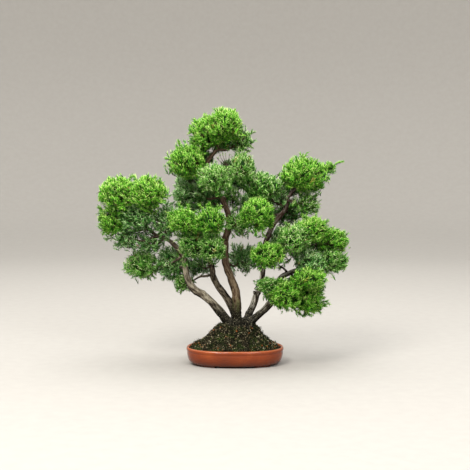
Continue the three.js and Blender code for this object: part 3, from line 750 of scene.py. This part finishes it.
# The height, in metres, above which each trunk runs under the foliage and is painted darker and
# reddish, painted shade together with its young bark's own reddish tone, and how strongly.
TRUNK_PAINTED_SHADE = {
    "left": (0.166, 0.5), "second": (0.16, 0.6), "tall": (0.146, 0.5), "fourth": (0.18, 0.8),
    "right": (0.15, 0.55), "crown": (1, 0),
}
PAINTED_SHADE_GROWS_OVER, MOSS_FADES_OVER = 0.022, 0.03
# Down between these heights the foot of the wood turns nearly black, with a few pale flecks.
FOOT_TURNS_DARK = (0.108, 0.086)


def bark_finish(name, dark, middle, light, moss_top):
    """Stringy juniper bark: fibres along the grain, dark splits, painted light on one side, moss low down.
    """
    bark = Finish(f"bark_{name}", roughness=0.9, specular=0.06)
    grain_place = bark.kept("grain", "Vector")
    fibres = bark.noise(bark.stretched(grain_place, 8), 0.0012, detail=4)
    flakes = bark.noise(bark.stretched(grain_place, 2.6), 0.0042, detail=3, roughness=0.6)
    value = bark.plus(bark.times(fibres, 0.45), bark.times(flakes, 0.55))
    # Painted light: the side that faces the light is made paler.
    lit = bark.plus(value, bark.times(bark.kept("painted_light_side"), 0.12))
    lit = bark.plus(lit, bark.times(bark.kept("crack"), -0.13))
    colour = bark.shades(lit, [(0.32, (16, 13, 10)), (0.41, dark), (0.5, middle), (0.6, light)])
    moss = bark.shades(flakes, [(0.4, (27, 29, 16)), (0.62, (89, 94, 56))])
    low = bark.spread(bark.height(), moss_top, moss_top - MOSS_FADES_OVER)
    mossy = bark.times(low, bark.times(flakes, 0.9))
    colour = bark.blend(bark.spread(mossy, 0.22, 0.5, 0, 0.8), colour, moss)
    # Painted shade: above a height each trunk is blended towards a dark reddish brown, with the young
    # bark's own reddish tone.
    painted_shade_from, painted_shade_share = TRUNK_PAINTED_SHADE[name]
    shade = bark.spread(bark.height(), painted_shade_from, painted_shade_from + PAINTED_SHADE_GROWS_OVER, 0, painted_shade_share)
    colour = bark.blend(shade, colour, (52, 33, 25))
    spots = bark.noise(grain_place, 0.0034, detail=2)
    colour = bark.blend(bark.spread(spots, 0.5, 0.66, 0, 0.5), colour, dark)
    deep = bark.spread(bark.height(), *FOOT_TURNS_DARK, 0, 0.92)
    flecks = bark.noise(grain_place, 0.0015, detail=2)
    pale = bark.times(bark.spread(flecks, 0.61, 0.68), deep)
    colour = bark.blend(deep, colour, (6, 6, 4))
    bark.colour(bark.blend(bark.times(pale, 0.7), colour, (168, 162, 134)))
    bark.relief(value, 0.0022)
    return bark.material


wood_parts = []


def add_limb(bark, route, sides, seed, lump=1.0):
    """Gives the wood one more limb, in the bark of a trunk or of the crown."""
    wood_parts.append((bark, bark_tube(route, sides, seed, lump)))


for seed, (trunk, stations) in enumerate(TRUNKS.items(), start=40):
    add_limb(trunk, smooth_route(stations, TRUNK_STEP), TRUNK_SIDES, seed)
for trunk, branches in BARE_BRANCHES.items():
    for seed, stations in enumerate(branches, start=60):
        add_limb(trunk, smooth_route(stations, STUB_STEP), STUB_SIDES, seed, lump=0.6)
branch_routes = {}
for trunk, stations in HEADS_ON.items():
    for station, group in stations.items():
        for head in group:
            seed = 70 + len(branch_routes)
            branch_routes[head] = head_branch(trunk, station, middle_of(head))
            add_limb(trunk, branch_routes[head], BRANCH_SIDES, seed, lump=0.5)
for tip in FAN_TIPS:
    bend = (np.array(FAN_FORK) + tip) / 2 + (0, 0, -1.5)
    stations = [(*FAN_FOOT, 0.9), (*FAN_FORK, 0.7), (*bend, 0.5), (*tip, 0.3)]
    add_limb("right", smooth_route(stations, TWIG_STEP), TWIG_SIDES, seed=130, lump=0.3)
for seed, (angle, reach, thickness) in enumerate(ROOTS, start=140):
    turn = math.radians(angle)
    way = np.array([math.cos(turn), math.sin(turn)])
    stations = []
    for share, z, taper in ROOT_DIP:
        x, y = CROWN_MIDDLE + way * (np.array(CROWN_HALF_SIZES) * 0.8 + reach * share)
        stations.append((x, y, z, thickness * taper))
    add_limb("crown", smooth_route(stations, ROOT_STEP), ROOT_SIDES, seed)

crown_turn = round_turn(CROWN_SIDES)
crown_rings = []
for z, share in smooth_route(CROWN_LEVELS, TRUNK_STEP):
    flute = share * (1 + 0.08 * np.sin(crown_turn * 5) + 0.06 * np.sin(crown_turn * 11 + z / 5))
    ring = level_ring(
        CROWN_MIDDLE[0] + np.cos(crown_turn) * CROWN_HALF_SIZES[0] * flute,
        CROWN_MIDDLE[1] + np.sin(crown_turn) * CROWN_HALF_SIZES[1] * flute,
        z,
    )
    crown_rings.append(ring + lumps(ring, CROWN_LUMPS)[:, None])
crown_corners = np.vstack(crown_rings)
crown_out = crown_corners - (*CROWN_MIDDLE, CROWN_CORE_Z)
crown_out /= np.linalg.norm(crown_out, axis=1, keepdims=True)
crown_faces = capped_faces(len(crown_rings), CROWN_SIDES)
crown_cracks = np.exp(-((ripples(crown_corners * (1, 1, 0.4), 6, 151) / 0.3) ** 2))
wood_parts.append(("crown", (crown_corners, crown_faces, crown_corners, crown_out, crown_cracks)))

bark_names = list(BARKS)
wood_faces, wood_slots, wood_painted_light_side = [], [], []
count = 0
for trunk, (corners, faces, _, out, _) in wood_parts:
    # Painted light: how far each corner faces the side that the light comes from.
    light_side = np.array(BARKS[trunk][-1])
    wood_painted_light_side.append(out @ (light_side / np.linalg.norm(light_side)))
    wood_faces += [tuple(corner + count for corner in face) for face in faces]
    wood_slots += [bark_names.index(trunk)] * len(faces)
    count += len(corners)
wood_corners, _, wood_grain, _, wood_cracks = zip(*[shape for _, shape in wood_parts])
wood = new_object("trunks_roots_and_branches", np.vstack(wood_corners), wood_faces)
grain_places = wood.data.attributes.new("grain", "FLOAT_VECTOR", "POINT")
grain_places.data.foreach_set("vector", np.vstack(wood_grain).ravel() * MM)
keep_on_corners(wood, "painted_light_side", np.concatenate(wood_painted_light_side))
keep_on_corners(wood, "crack", np.concatenate(wood_cracks))
for name, (*look, _) in BARKS.items():
    wood.data.materials.append(bark_finish(name, *look))
wood.data.polygons.foreach_set("material_index", wood_slots)
settle(wood, None, "bark", "trunks_and_branches")

# Foliage: each head is a cushion of plumes, and each plume a thin twig with slim shoots that are
# covered in scale leaves. Neighbouring heads run together. Plumes turn up to the light, their
# tips are bright new growth, the light and shade on each plume is partly painted into its colour,
# and the inside of a head is a dark core in painted shade, or bare in the thin heads.
GOLDEN_TURN = math.pi * (3 - math.sqrt(5))
PLUME_KINDS, SIDE_SHOOTS = 24, 7
PLUME_LENGTH, PLUME_SPACING, PLUME_BEND = 12, 4.3, 0.08
# How much the lengths of plumes and shoots differ, and how much of its reach a plume takes up.
LENGTH_SPREAD = (0.75, 1.25)
LONGEST_SHARE = 0.72
# Half thickness of the shoots where they start, as a share of the plume's length.
STEM_SHARE, SHOOT_SHARE = 0.05, 0.056
# On a plume one unit tall, the side shoots start from this height over this range, get shorter
# towards the top, and stand out and up by these shares of their length.
SHOOTS_FROM, SHOOTS_RANGE = 0.1, 0.66
SHOOT_LENGTH, SHOOT_SHORTER = 0.66, 0.3
SHOOT_OUT, SHOOT_UP, SHOOT_SCATTER = 0.52, 0.8, 0.12
# The chance that a plume has dried up, and how brown it is then.
DRY_CHANCE, DRY_BROWN = 0.006, 0.5
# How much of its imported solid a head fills. These fill less than the others, so that their
# shoots stop short of it.
FULL_SHARE = 0.98
FULLNESS = {
    "shoulder_right": 0.87, "shoulder_back": 0.92, "peak_tip": 0.9, "wing_right": 0.94,
    "left_top_outer": 0.97, "low_left_tip": 0.96, "skirt_right": 0.94, "spur_right": 0.95,
}
# Neighbouring heads run together over about this width. The skin is looked for at these steps.
FILLET = 6
FILLET_STEPS = np.arange(0, 17, 1.0)
# Bulges of a head's skin, as a share of its reach, and how far apart they lie. Hollows lie
# between the sprays.
BULGE_SHARE, BULGE_APART = 0.19, 21
HOLLOW_BELOW, HOLLOW_APART = -0.8, 13
# Few plumes grow where a head is buried deeper than this in others, in the hollows, and below.
MOST_BURIED, BURIED_BARE, HOLLOW_BARE = 3.0, 0.92, 0.85
UNDERSIDE_BELOW, UNDERSIDE_BARE = -0.6, 0.3
# Reach of the plumes, as a share of the skin's: in thin heads, of leaders, and of all others.
THIN_REACHES, LEADER_REACHES = (0.5, 1.08), (1.05, 1.16)
LEADERS, MOST_REACH, REACH_SPREAD = 7, 1.02, 0.18
# A plume leans out of its head, out of the tree, up to the light, and with its whole spray.
TREE_MIDDLE = np.array((0, 0, 180))
HEAD_LEAN, TREE_LEAN, UP_LEAN, LEAN_SPREAD = 0.5, 0.32, 0.26, 0.2
SPRAY_LEAN, SPRAY_APART = 0.42, 17
# Painted light on a plume, from 0 in painted shade to 1: in the middle, more for those that face
# up, more by patches, and how much it differs from one plume to the next.
SUN_MIDDLE, SUN_ABOVE, SUN_PATCHES, SUN_SPREAD = 0.6, 0.12, 0.1, 0.4
# Small plumes on the bare part of a branch: the length of branch that carries one, and the
# length of the collar at the trunk that carries none.
BRANCH_PLUME_SPACING, COLLAR_LENGTH = 4, 9
# Their lengths, as shares of a full plume's, the painted light on them, and how much that differs.
SMALL_LENGTHS, SMALL_SUN, SMALL_SUN_SPREAD = (0.6, 1.1), 0.5, 0.25
# Strong shoots that stand out past a head, or fill the gap to the next one: x and z of each tip.
SPRIGS = {
    "mid_low_right": [(-19, 207), (-23, 184)],
    "mid_top_left": [(-110, 259), (-92, 272), (-73, 271), (-109, 236)],
    "crown_left": [(-70, 412), (-52, 421)],
    "crown_right": [(2, 427)],
    "crown_back": [(-32, 353), (-21, 355), (-9, 358), (5, 358)],
    "spur_left": [(-96, 376), (-117, 344), (-95, 313)],
    "spur_right": [(33, 391), (31, 361)],
    "left_top_outer": [(-167, 319), (-228, 275)],
    "left_top_inner": [(-128, 316)],
    "left_elbow": [(-120, 268), (-113, 274)],
    "left_outer": [(-230, 266), (-230, 257), (-223, 217)],
    "left_under": [(-220, 210), (-202, 197), (-166, 190)],
    "low_left_tip": [(-159, 137), (-147, 138), (-135, 140)],
    "low_left_inner": [(-123, 136), (-111, 136), (-85, 148)],
    "low_left_drop": [(-100, 119), (-92, 115)],
    "shade_left": [(-114, 264), (-102, 261), (-89, 259), (-75, 257), (-61, 257)],
    "shade_inner": [(-47, 252), (-35, 256), (-22, 256)],
    "mid_low_left": [(-100, 224), (-98, 214), (-95, 206), (-82, 165), (-88, 178)],
    "mid_under": [(-72, 141), (-45, 148), (-31, 161), (-31, 170)],
    "mid_top_right": [(-17, 244), (-19, 225), (-60, 273), (-42, 276), (-23, 269)],
    "shoulder_low": [(-3, 258)],
    "heart_left": [(15, 215)],
    "heart_front": [(33, 219), (47, 218), (15, 257), (23, 280), (62, 270), (63, 242)],
    "fan_back": [(-7, 199), (-7, 190), (24, 147)],
    "fan_front": [(38, 162), (65, 165), (31, 193), (80, 187), (54, 211)],
    "peak_left": [(79, 334), (75, 308)],
    "peak_right": [(107, 354)],
    "peak_tip": [(180, 341)],
    "peak_under": [(140, 287), (136, 252)],
    "wing_left": [(69, 233), (82, 243)],
    "wing_top": [(109, 254), (134, 255), (156, 244)],
    "wing_under": [(85, 167), (73, 158)],
    "skirt_left": [(85, 95)],
    "skirt_right": [(112, 82)],
    "skirt_tip": [(42, 128)],
}
SPRIG_LENGTH, SPRIG_PLUMES = 16, 9
# The leading plume of a sprig is painted in more light than the small ones round it, which turn up a
# little and spread.
LEADING_SUN, SPRIG_SUN = 0.8, 0.65
SPRIG_UP, SPRIG_SPREAD, SPRIG_LENGTHS = 0.2, 0.42, (0.5, 0.85)
FAN_PLUMES, FAN_PLUME_LENGTH = 3, 4
# Limbs fork in the middle of a head and run to a share of its half size, as the core does.
LIMBS, LIMB_SHARE, LIMB_SAG = 7, 0.6, 1.5
# Twigs leave a limb between these shares of the half size.
FORK_SHARES = (0.3, 0.58)
CORE_SHARE, CORE_ROUGH, CORE_AGE = 0.6, 2.2, 0.12
TWIG_RADIUS = 0.5
# Ages below 0 are bare wood, and the tips of new shoots are about 1. Bare wood gets a middling painted
# light.
LIMB_AGES, TWIG_AGES, WOOD_SUN = (-0.5, -0.5, -0.3), (-0.4, 0.0), 0.6
# Heads with little foliage, where twigs and the light behind show through. Their plumes are
# spaced wider.
THIN_SPACING = 1.2
THIN_HEADS = {
    "left_elbow", "left_crook", "mid_under", "heart_right", "peak_under", "peak_inner", "wing_inner",
    "wing_under", "spur_inner", "left_under", "fan_back", "heart_left", "shoulder_low", "spur_right",
}


def make_plume(source):
    """A plume one unit tall: a stem and slim, pointed side shoots that lean up beside it."""
    lean = source.normal(0, 0.05, 3) * (1, 1, 0)
    cords = [cord(((0, 0, 0), (0, 0, 1) + lean), (STEM_SHARE,), (0.0, 1.0))]
    for i in range(SIDE_SHOOTS):
        height = SHOOTS_FROM + SHOOTS_RANGE * i / (SIDE_SHOOTS - 1)
        turn = i * GOLDEN_TURN + source.normal(0, 0.3)
        out = np.array((math.cos(turn), math.sin(turn), 0))
        length = (SHOOT_LENGTH - SHOOT_SHORTER * height) * source.uniform(*LENGTH_SPREAD)
        start = ((0, 0, 1) + lean) * height
        way = out * SHOOT_OUT + (0, 0, SHOOT_UP) + source.normal(0, SHOOT_SCATTER, 3)
        end = start + way * length
        age = source.normal(0, 0.3)
        ages = (age + 0.15 + 0.36 * height, age + 0.8 + 0.24 * height)
        cords.append(cord((start, end), (SHOOT_SHARE,), ages))
    return bundle(cords)


def placed_plume(corners, base, bend, tip, turn, width):
    """A plume's corners, laid along the curve from its base past a bend to its tip."""
    t = corners[:, 2:3]
    middle = (1 - t) ** 2 * base + 2 * t * (1 - t) * bend + t**2 * tip
    along = 2 * (1 - t) * (bend - base) + 2 * t * (tip - bend)
    along /= np.linalg.norm(along, axis=1, keepdims=True)
    across = np.cross(along, turn)
    across /= np.linalg.norm(across, axis=1, keepdims=True)
    third = np.cross(along, across)
    return middle + (across * corners[:, :1] + third * corners[:, 1:2]) * width


def even_directions(count, source):
    """Directions spread evenly over a sphere, with a random turn."""
    k = np.arange(count) + 0.5
    z = 1 - 2 * k / count
    flat = np.sqrt(1 - z**2)
    turn = k * GOLDEN_TURN + source.uniform(0, math.tau)
    return np.column_stack([flat * np.cos(turn), flat * np.sin(turn), z])


def foliage_finish(name, tip, fresh, green, deep):
    """Scale-leaved shoots: bright at the tips, deep green lower down, brown where bare, with painted light
    and shade.
    """
    leaf = Finish(name, roughness=0.6, specular=0.12)
    age = leaf.spread(leaf.kept("age"), -0.5, 1)
    lit = leaf.shades(
        age,
        [
            (0, (96, 72, 50)), (0.3, (84, 72, 44)), (0.42, deep), (0.64, green),
            (0.82, fresh), (1, tip),
        ],
    )
    shade = leaf.shades(
        age,
        [
            (0, (64, 50, 36)), (0.3, (40, 42, 22)), (0.42, (16, 48, 8)),
            (0.66, deep), (0.86, green), (1, fresh),
        ],
    )
    # Painted light and shade: the sun value blends the shaded copy of the colours with the lit one.
    colour = leaf.blend(leaf.kept("sun"), shade, lit)
    speckle = leaf.noise(leaf.place(), 0.0035, detail=2)
    colour = leaf.blend(leaf.spread(speckle, 0.5, 0.75, 0, 0.5), colour, deep)
    leaf.colour(leaf.blend(leaf.kept("dry"), colour, (168, 124, 72)))
    leaf.relief(leaf.cells(leaf.place(), 0.0007), 0.0002)
    return leaf.material


# The colours of each finish: new tips, fresh shoots, green shoots and shoots deep inside. The sunlit
# and shaded finishes are painted lit and shaded copies of the same shoots.
LEAF_COLOURS = {
    "foliage_sunlit": ((212, 240, 138), (148, 212, 66), (86, 166, 34), (36, 100, 12)),
    "foliage_green": ((224, 242, 178), (148, 204, 88), (84, 156, 48), (34, 92, 18)),
    "foliage_shaded": ((220, 240, 190), (150, 202, 110), (90, 154, 70), (36, 90, 30)),
}
foliage_finishes = {
    slot: foliage_finish(slot.replace("foliage", "scale_leaves"), *colours)
    for slot, colours in LEAF_COLOURS.items()
}
# How much more painted light the heads of a finish get, and single heads.
SUN_BIAS = {"foliage_sunlit": 0.04, "foliage_green": 0.0, "foliage_shaded": 0.0}
SUN_SHIFTS = {
    "left_top_outer": 0.22, "left_top_inner": 0.22, "crown_left": 0.15, "crown_right": 0.15,
    "crown_back": 0.1, "wing_top": 0.16, "wing_left": 0.2, "shade_left": 0.25, "fan_back": 0.16,
    "shoulder_front": 0.15, "shoulder_right": 0.15, "low_left_tip": 0.1, "low_left_inner": 0.1,
    "left_middle": 0.06, "peak_under": 0.1, "heart_left": 0.1, "mid_top_left": -0.2,
    "mid_top_right": -0.2, "heart_front": -0.14, "heart_top": -0.14, "mid_low_left": -0.06,
    "mid_low_right": -0.06, "peak_left": -0.05, "peak_right": -0.05,
}

leaf_source = np.random.default_rng(2024)
plume_kinds = [make_plume(leaf_source) for _ in range(PLUME_KINDS)]
slot_of_node = {part["node"]: part["material_slot"] for part in frame["record"]["subparts"]}
heads = [head for stations in HEADS_ON.values() for group in stations.values() for head in group]
head_boxes = np.array([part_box(f"foliage_{head}") for head in heads]) / MM
head_middles = head_boxes.mean(axis=1)
head_halves = (head_boxes[:, 1] - head_boxes[:, 0]) / 2
head_halves *= np.array([FULLNESS.get(head, FULL_SHARE) for head in heads])[:, None]
core_directions, core_faces = ball(subdivisions=2)


def skin_along(number, directions):
    """How far a head's skin lies along directions, and how deep it is buried in other heads."""
    plain = 1 / np.linalg.norm(directions / head_halves[number], axis=1)
    reaches = plain[:, None] + FILLET_STEPS
    points = head_middles[number] + directions[:, None] * reaches[..., None]
    apart = np.linalg.norm((points[:, :, None] - head_middles) / head_halves, axis=-1) - 1
    apart *= head_halves.mean(axis=1)
    merged = -FILLET * np.log(np.exp(-apart / FILLET).sum(axis=-1))
    is_own = (merged < 0) & (apart.argmin(axis=-1) == number)
    grown = np.cumprod(is_own, axis=1).sum(axis=1) * (FILLET_STEPS[1] - FILLET_STEPS[0])
    others = np.delete(apart[:, 0], number, axis=1).min(axis=1)
    return plain + grown, -others


class Cushion:
    """The twigs and plumes of one head, gathered up before they become one mesh."""

    def __init__(self, source):
        self.source = source
        self.shapes, self.suns, self.dries = [], [], []

    def add(self, shape, sun, dry=0.0):
        """A shape is its corners, their ages and its faces."""
        self.shapes.append(shape)
        self.suns.append(np.full(len(shape[0]), sun))
        self.dries.append(np.full(len(shape[0]), dry))

    def add_twig(self, start, end):
        """A thin bare twig that tapers to its end."""
        self.add(cord((start, end), (TWIG_RADIUS,), TWIG_AGES), WOOD_SUN)

    def add_plume(self, base, tip, out, sun):
        """A plume of any kind from its base to its tip, bent a little outwards."""
        length = np.linalg.norm(tip - base)
        bend = (base + tip) / 2 + (out + self.source.normal(0, 1, 3)) * length * PLUME_BEND
        corners, ages, faces = plume_kinds[self.source.integers(PLUME_KINDS)]
        corners = placed_plume(corners, base, bend, tip, self.source.normal(size=3), length)
        dry = DRY_BROWN if self.source.random() < DRY_CHANCE else 0.0
        self.add((corners, ages, faces), float(np.clip(sun, 0, 1)), dry)


def add_core(cushion, number):
    """The close, dark mass of old shoots deep inside a full head, in painted shade."""
    core = head_middles[number] + core_directions * head_halves[number] * CORE_SHARE
    core = core + core_directions * (CORE_ROUGH * ripples(core, 6, number))[:, None]
    # Painted shade: the core gets no painted light, so its colour comes from the shaded copy.
    cushion.add((core, np.full(len(core), CORE_AGE), core_faces), 0.0)


def add_limbs(cushion, number):
    """Bare limbs from the middle of a head. Their directions are given back."""
    middle = head_middles[number]
    limbs = even_directions(LIMBS, cushion.source)
    for limb in limbs:
        end = middle + limb * head_halves[number] * LIMB_SHARE
        bend = (middle + end) / 2 - (0, 0, LIMB_SAG)
        cushion.add(cord((middle, bend, end), (TWIG_RADIUS * 1.8, TWIG_RADIUS * 1.4), LIMB_AGES), WOOD_SUN)
    return limbs


def plume_directions(half, is_thin, source):
    """Directions from the middle of a head to its plumes, about a spacing apart on its skin."""
    spacing = PLUME_SPACING * (THIN_SPACING if is_thin else 1)
    area = 4 * math.pi * np.mean([half[0] * half[1], half[0] * half[2], half[1] * half[2]])
    ways = even_directions(round(area / spacing**2), source)
    ways = ways + source.normal(0, 0.08, ways.shape)
    return ways / np.linalg.norm(ways, axis=1, keepdims=True)


def add_skin(cushion, number, limbs, sun_bias):
    """The plumes of a head's skin, each on a twig from the nearest limb."""
    source = cushion.source
    middle, half = head_middles[number], head_halves[number]
    is_thin = heads[number] in THIN_HEADS
    ways = plume_directions(half, is_thin, source)
    reaches, buried = skin_along(number, ways)
    skin = middle + ways * half
    bulges, hollows = ripples(skin, BULGE_APART, 300), ripples(skin, HOLLOW_APART, 301)
    patches = ripples(skin, SPRAY_APART, 310)
    leans = np.column_stack([ripples(skin, SPRAY_APART, 302 + axis) for axis in range(3)])
    tree_out = (middle - TREE_MIDDLE) / np.linalg.norm(middle - TREE_MIDDLE)
    for place, (direction, reach, depth) in enumerate(zip(ways, reaches, buried)):
        chance = source.random()
        if depth > MOST_BURIED and chance < BURIED_BARE:
            continue
        if direction[2] < UNDERSIDE_BELOW and chance < UNDERSIDE_BARE:
            continue
        if hollows[place] < HOLLOW_BELOW and chance < HOLLOW_BARE:
            continue
        reach *= 1 + BULGE_SHARE * bulges[place]
        if is_thin:
            reach *= source.uniform(*THIN_REACHES)
        elif place % (len(ways) // LEADERS) == 1:
            reach *= source.uniform(*LEADER_REACHES)
        else:
            reach *= MOST_REACH - source.uniform(0, REACH_SPREAD)
        tip = middle + direction * reach
        length = min(PLUME_LENGTH * source.uniform(*LENGTH_SPREAD), reach * LONGEST_SHARE)
        heading = direction * HEAD_LEAN + tree_out * TREE_LEAN + (0, 0, UP_LEAN + UP_LEAN * direction[2])
        heading += leans[place] * SPRAY_LEAN
        heading += source.normal(0, LEAN_SPREAD, 3)
        base = tip - heading / np.linalg.norm(heading) * length
        # Painted light: how lit this plume is painted, from its facing, patches and chance.
        sun = SUN_MIDDLE + SUN_ABOVE * direction[2] + SUN_PATCHES * patches[place] + sun_bias
        cushion.add_plume(base, tip, direction, sun + source.normal(0, SUN_SPREAD))
        limb = limbs[np.argmax(limbs @ direction)]
        fork = middle + limb * half * source.uniform(*FORK_SHARES)
        cushion.add_twig(fork, base + (tip - base) * 0.15)


def add_branch_plumes(cushion, route):
    """Small plumes on the part of a branch that runs outside all heads."""
    source = cushion.source
    apart = np.linalg.norm((route[:, None] - head_middles) / head_halves, axis=-1)
    is_past_collar = np.linalg.norm(route - route[0], axis=1) > COLLAR_LENGTH
    for start in route[(apart > 0.95).all(axis=1) & is_past_collar]:
        for _ in range(source.poisson(BRANCH_STEP / BRANCH_PLUME_SPACING)):
            out = source.normal(0, 1, 3) + (0, 0, 0.5)
            out /= np.linalg.norm(out)
            tip = start + out * PLUME_LENGTH * source.uniform(*SMALL_LENGTHS)
            cushion.add_plume(start, tip, out, SMALL_SUN + source.normal(0, SMALL_SUN_SPREAD))


def add_sprig(cushion, middle, tip):
    """A strong shoot from the middle of a head to a tip, with small plumes round its end."""
    source = cushion.source
    out = (tip - middle) / np.linalg.norm(tip - middle)
    neck = tip - out * SPRIG_LENGTH / 2
    cushion.add_twig(middle, neck)
    cushion.add_plume(neck, tip, out, LEADING_SUN)
    for back in np.linspace(0.4, 1, SPRIG_PLUMES):
        start = tip - out * SPRIG_LENGTH * back
        way = out + (0, 0, SPRIG_UP) + source.normal(0, SPRIG_SPREAD, 3)
        reach = PLUME_LENGTH * source.uniform(*SPRIG_LENGTHS)
        end = start + way / np.linalg.norm(way) * reach
        cushion.add_plume(start, end, out, SPRIG_SUN + source.normal(0, SMALL_SUN_SPREAD))


def add_fan_plumes(cushion):
    """Fresh tufts at the ends of the thin bare twigs under the crown."""
    source = cushion.source
    fork = np.array(FAN_FORK)
    for fan_tip in FAN_TIPS:
        for _ in range(FAN_PLUMES):
            out = source.normal(0, 0.6, 3) + (0, 0, 1)
            start = fork + (np.array(fan_tip) - fork) * source.uniform(0.75, 1)
            # These tufts are painted fully lit.
            cushion.add_plume(start, start + out / np.linalg.norm(out) * FAN_PLUME_LENGTH, out, 1.0)


for number, head in enumerate(heads):
    node = f"foliage_{head}"
    slot = slot_of_node[node]
    middle = head_middles[number]
    cushion = Cushion(np.random.default_rng(5000 + number))
    if head not in THIN_HEADS:
        add_core(cushion, number)
    limbs = add_limbs(cushion, number)
    add_skin(cushion, number, limbs, SUN_BIAS[slot] + SUN_SHIFTS.get(head, 0))
    add_branch_plumes(cushion, branch_routes[head][:, :3])
    for x, z in SPRIGS.get(head, ()):
        add_sprig(cushion, middle, np.array((x, middle[1], z)))
    if head == FAN_HEAD:
        add_fan_plumes(cushion)
    corners, ages, faces = bundle(cushion.shapes)
    foliage = new_object(f"shoots_{head}", corners, faces.tolist())
    keep_on_corners(foliage, "age", ages)
    keep_on_corners(foliage, "sun", np.concatenate(cushion.suns))
    keep_on_corners(foliage, "dry", np.concatenate(cushion.dries))
    settle(foliage, foliage_finishes[slot], slot, node)

# Studio: a plain pale floor that turns up into a pale wall far off on all sides, with soft light
# from above, as in a bright room.
SWEEP = [(0, 0), (1500, 0), (2300, 0), (2900, 120), (3350, 560), (3500, 1200), (3500, 2200)]
CAMERA_PLACE = (0, -1.764, 0.351)
CAMERA_TILT = math.radians(4.34)
FOCAL_PIXELS, IMAGE_PIXELS = 1055, 470
SENSOR_WIDTH = 36
SWEEP_SIDES = 96

sweep_x, sweep_y = oval(round_turn(SWEEP_SIDES), 2)
sweep_rings = [
    level_ring(radius * sweep_x, radius * sweep_y, z)
    for radius, z in smooth_route(SWEEP, spacing=150)[:0:-1]
]
middle_disc = tuple(range((len(sweep_rings) - 1) * SWEEP_SIDES, len(sweep_rings) * SWEEP_SIDES))
sweep_faces = ring_faces(len(sweep_rings), SWEEP_SIDES) + [middle_disc]
floor = new_object("studio_sweep", np.vstack(sweep_rings), sweep_faces)
floor_finish = Finish("pale_backing", roughness=0.8, specular=0.2)
floor_grain = floor_finish.noise(floor_finish.place(), 0.02)
floor_finish.colour(
    floor_finish.shades(floor_grain, [(0.2, (151, 148, 143)), (0.8, (156, 153, 148))])
)
floor.data.materials.append(floor_finish.material)

world = bpy.context.scene.world or bpy.data.worlds.new("room")
bpy.context.scene.world = world
world.use_nodes = True
room_light = world.node_tree.nodes["Background"].inputs
room_light["Color"].default_value = (1.0, 0.98, 0.95, 1)
room_light["Strength"].default_value = 1.9


def soft_light(name, place, target, size, power, colour):
    """A square lamp of a size in metres and a power in watts, turned to a target."""
    light = bpy.data.lights.new(name, "AREA")
    light.shape = "RECTANGLE"
    light.size, light.size_y = size
    light.energy = power
    light.color = colour
    lamp = bpy.data.objects.new(name, light)
    bpy.context.scene.collection.objects.link(lamp)
    lamp.location = place
    lamp.rotation_euler = (Vector(target) - Vector(place)).to_track_quat("-Z", "Y").to_euler()


soft_light("window_left", (-0.8, -1.5, 1.8), (0, 0, 0.22), (0.9, 0.9), 56, (1.0, 0.97, 0.92))
soft_light("window_right", (0.75, -1.7, 1.4), (0, 0, 0.2), (0.7, 0.7), 19, (0.97, 0.98, 1.0))
soft_light("ceiling", (0, 0.1, 2.1), (0, 0, 0.2), (1.6, 1.6), 36, (1.0, 1.0, 1.0))

camera_data = bpy.data.cameras.new("camera")
camera_data.sensor_width = SENSOR_WIDTH
camera_data.lens = SENSOR_WIDTH * FOCAL_PIXELS / IMAGE_PIXELS
camera = bpy.data.objects.new("camera", camera_data)
camera.location = CAMERA_PLACE
camera.rotation_euler = (math.radians(90) - CAMERA_TILT, 0, 0)
bpy.context.scene.collection.objects.link(camera)
bpy.context.scene.camera = camera
bpy.context.scene.view_settings.view_transform = "Standard"
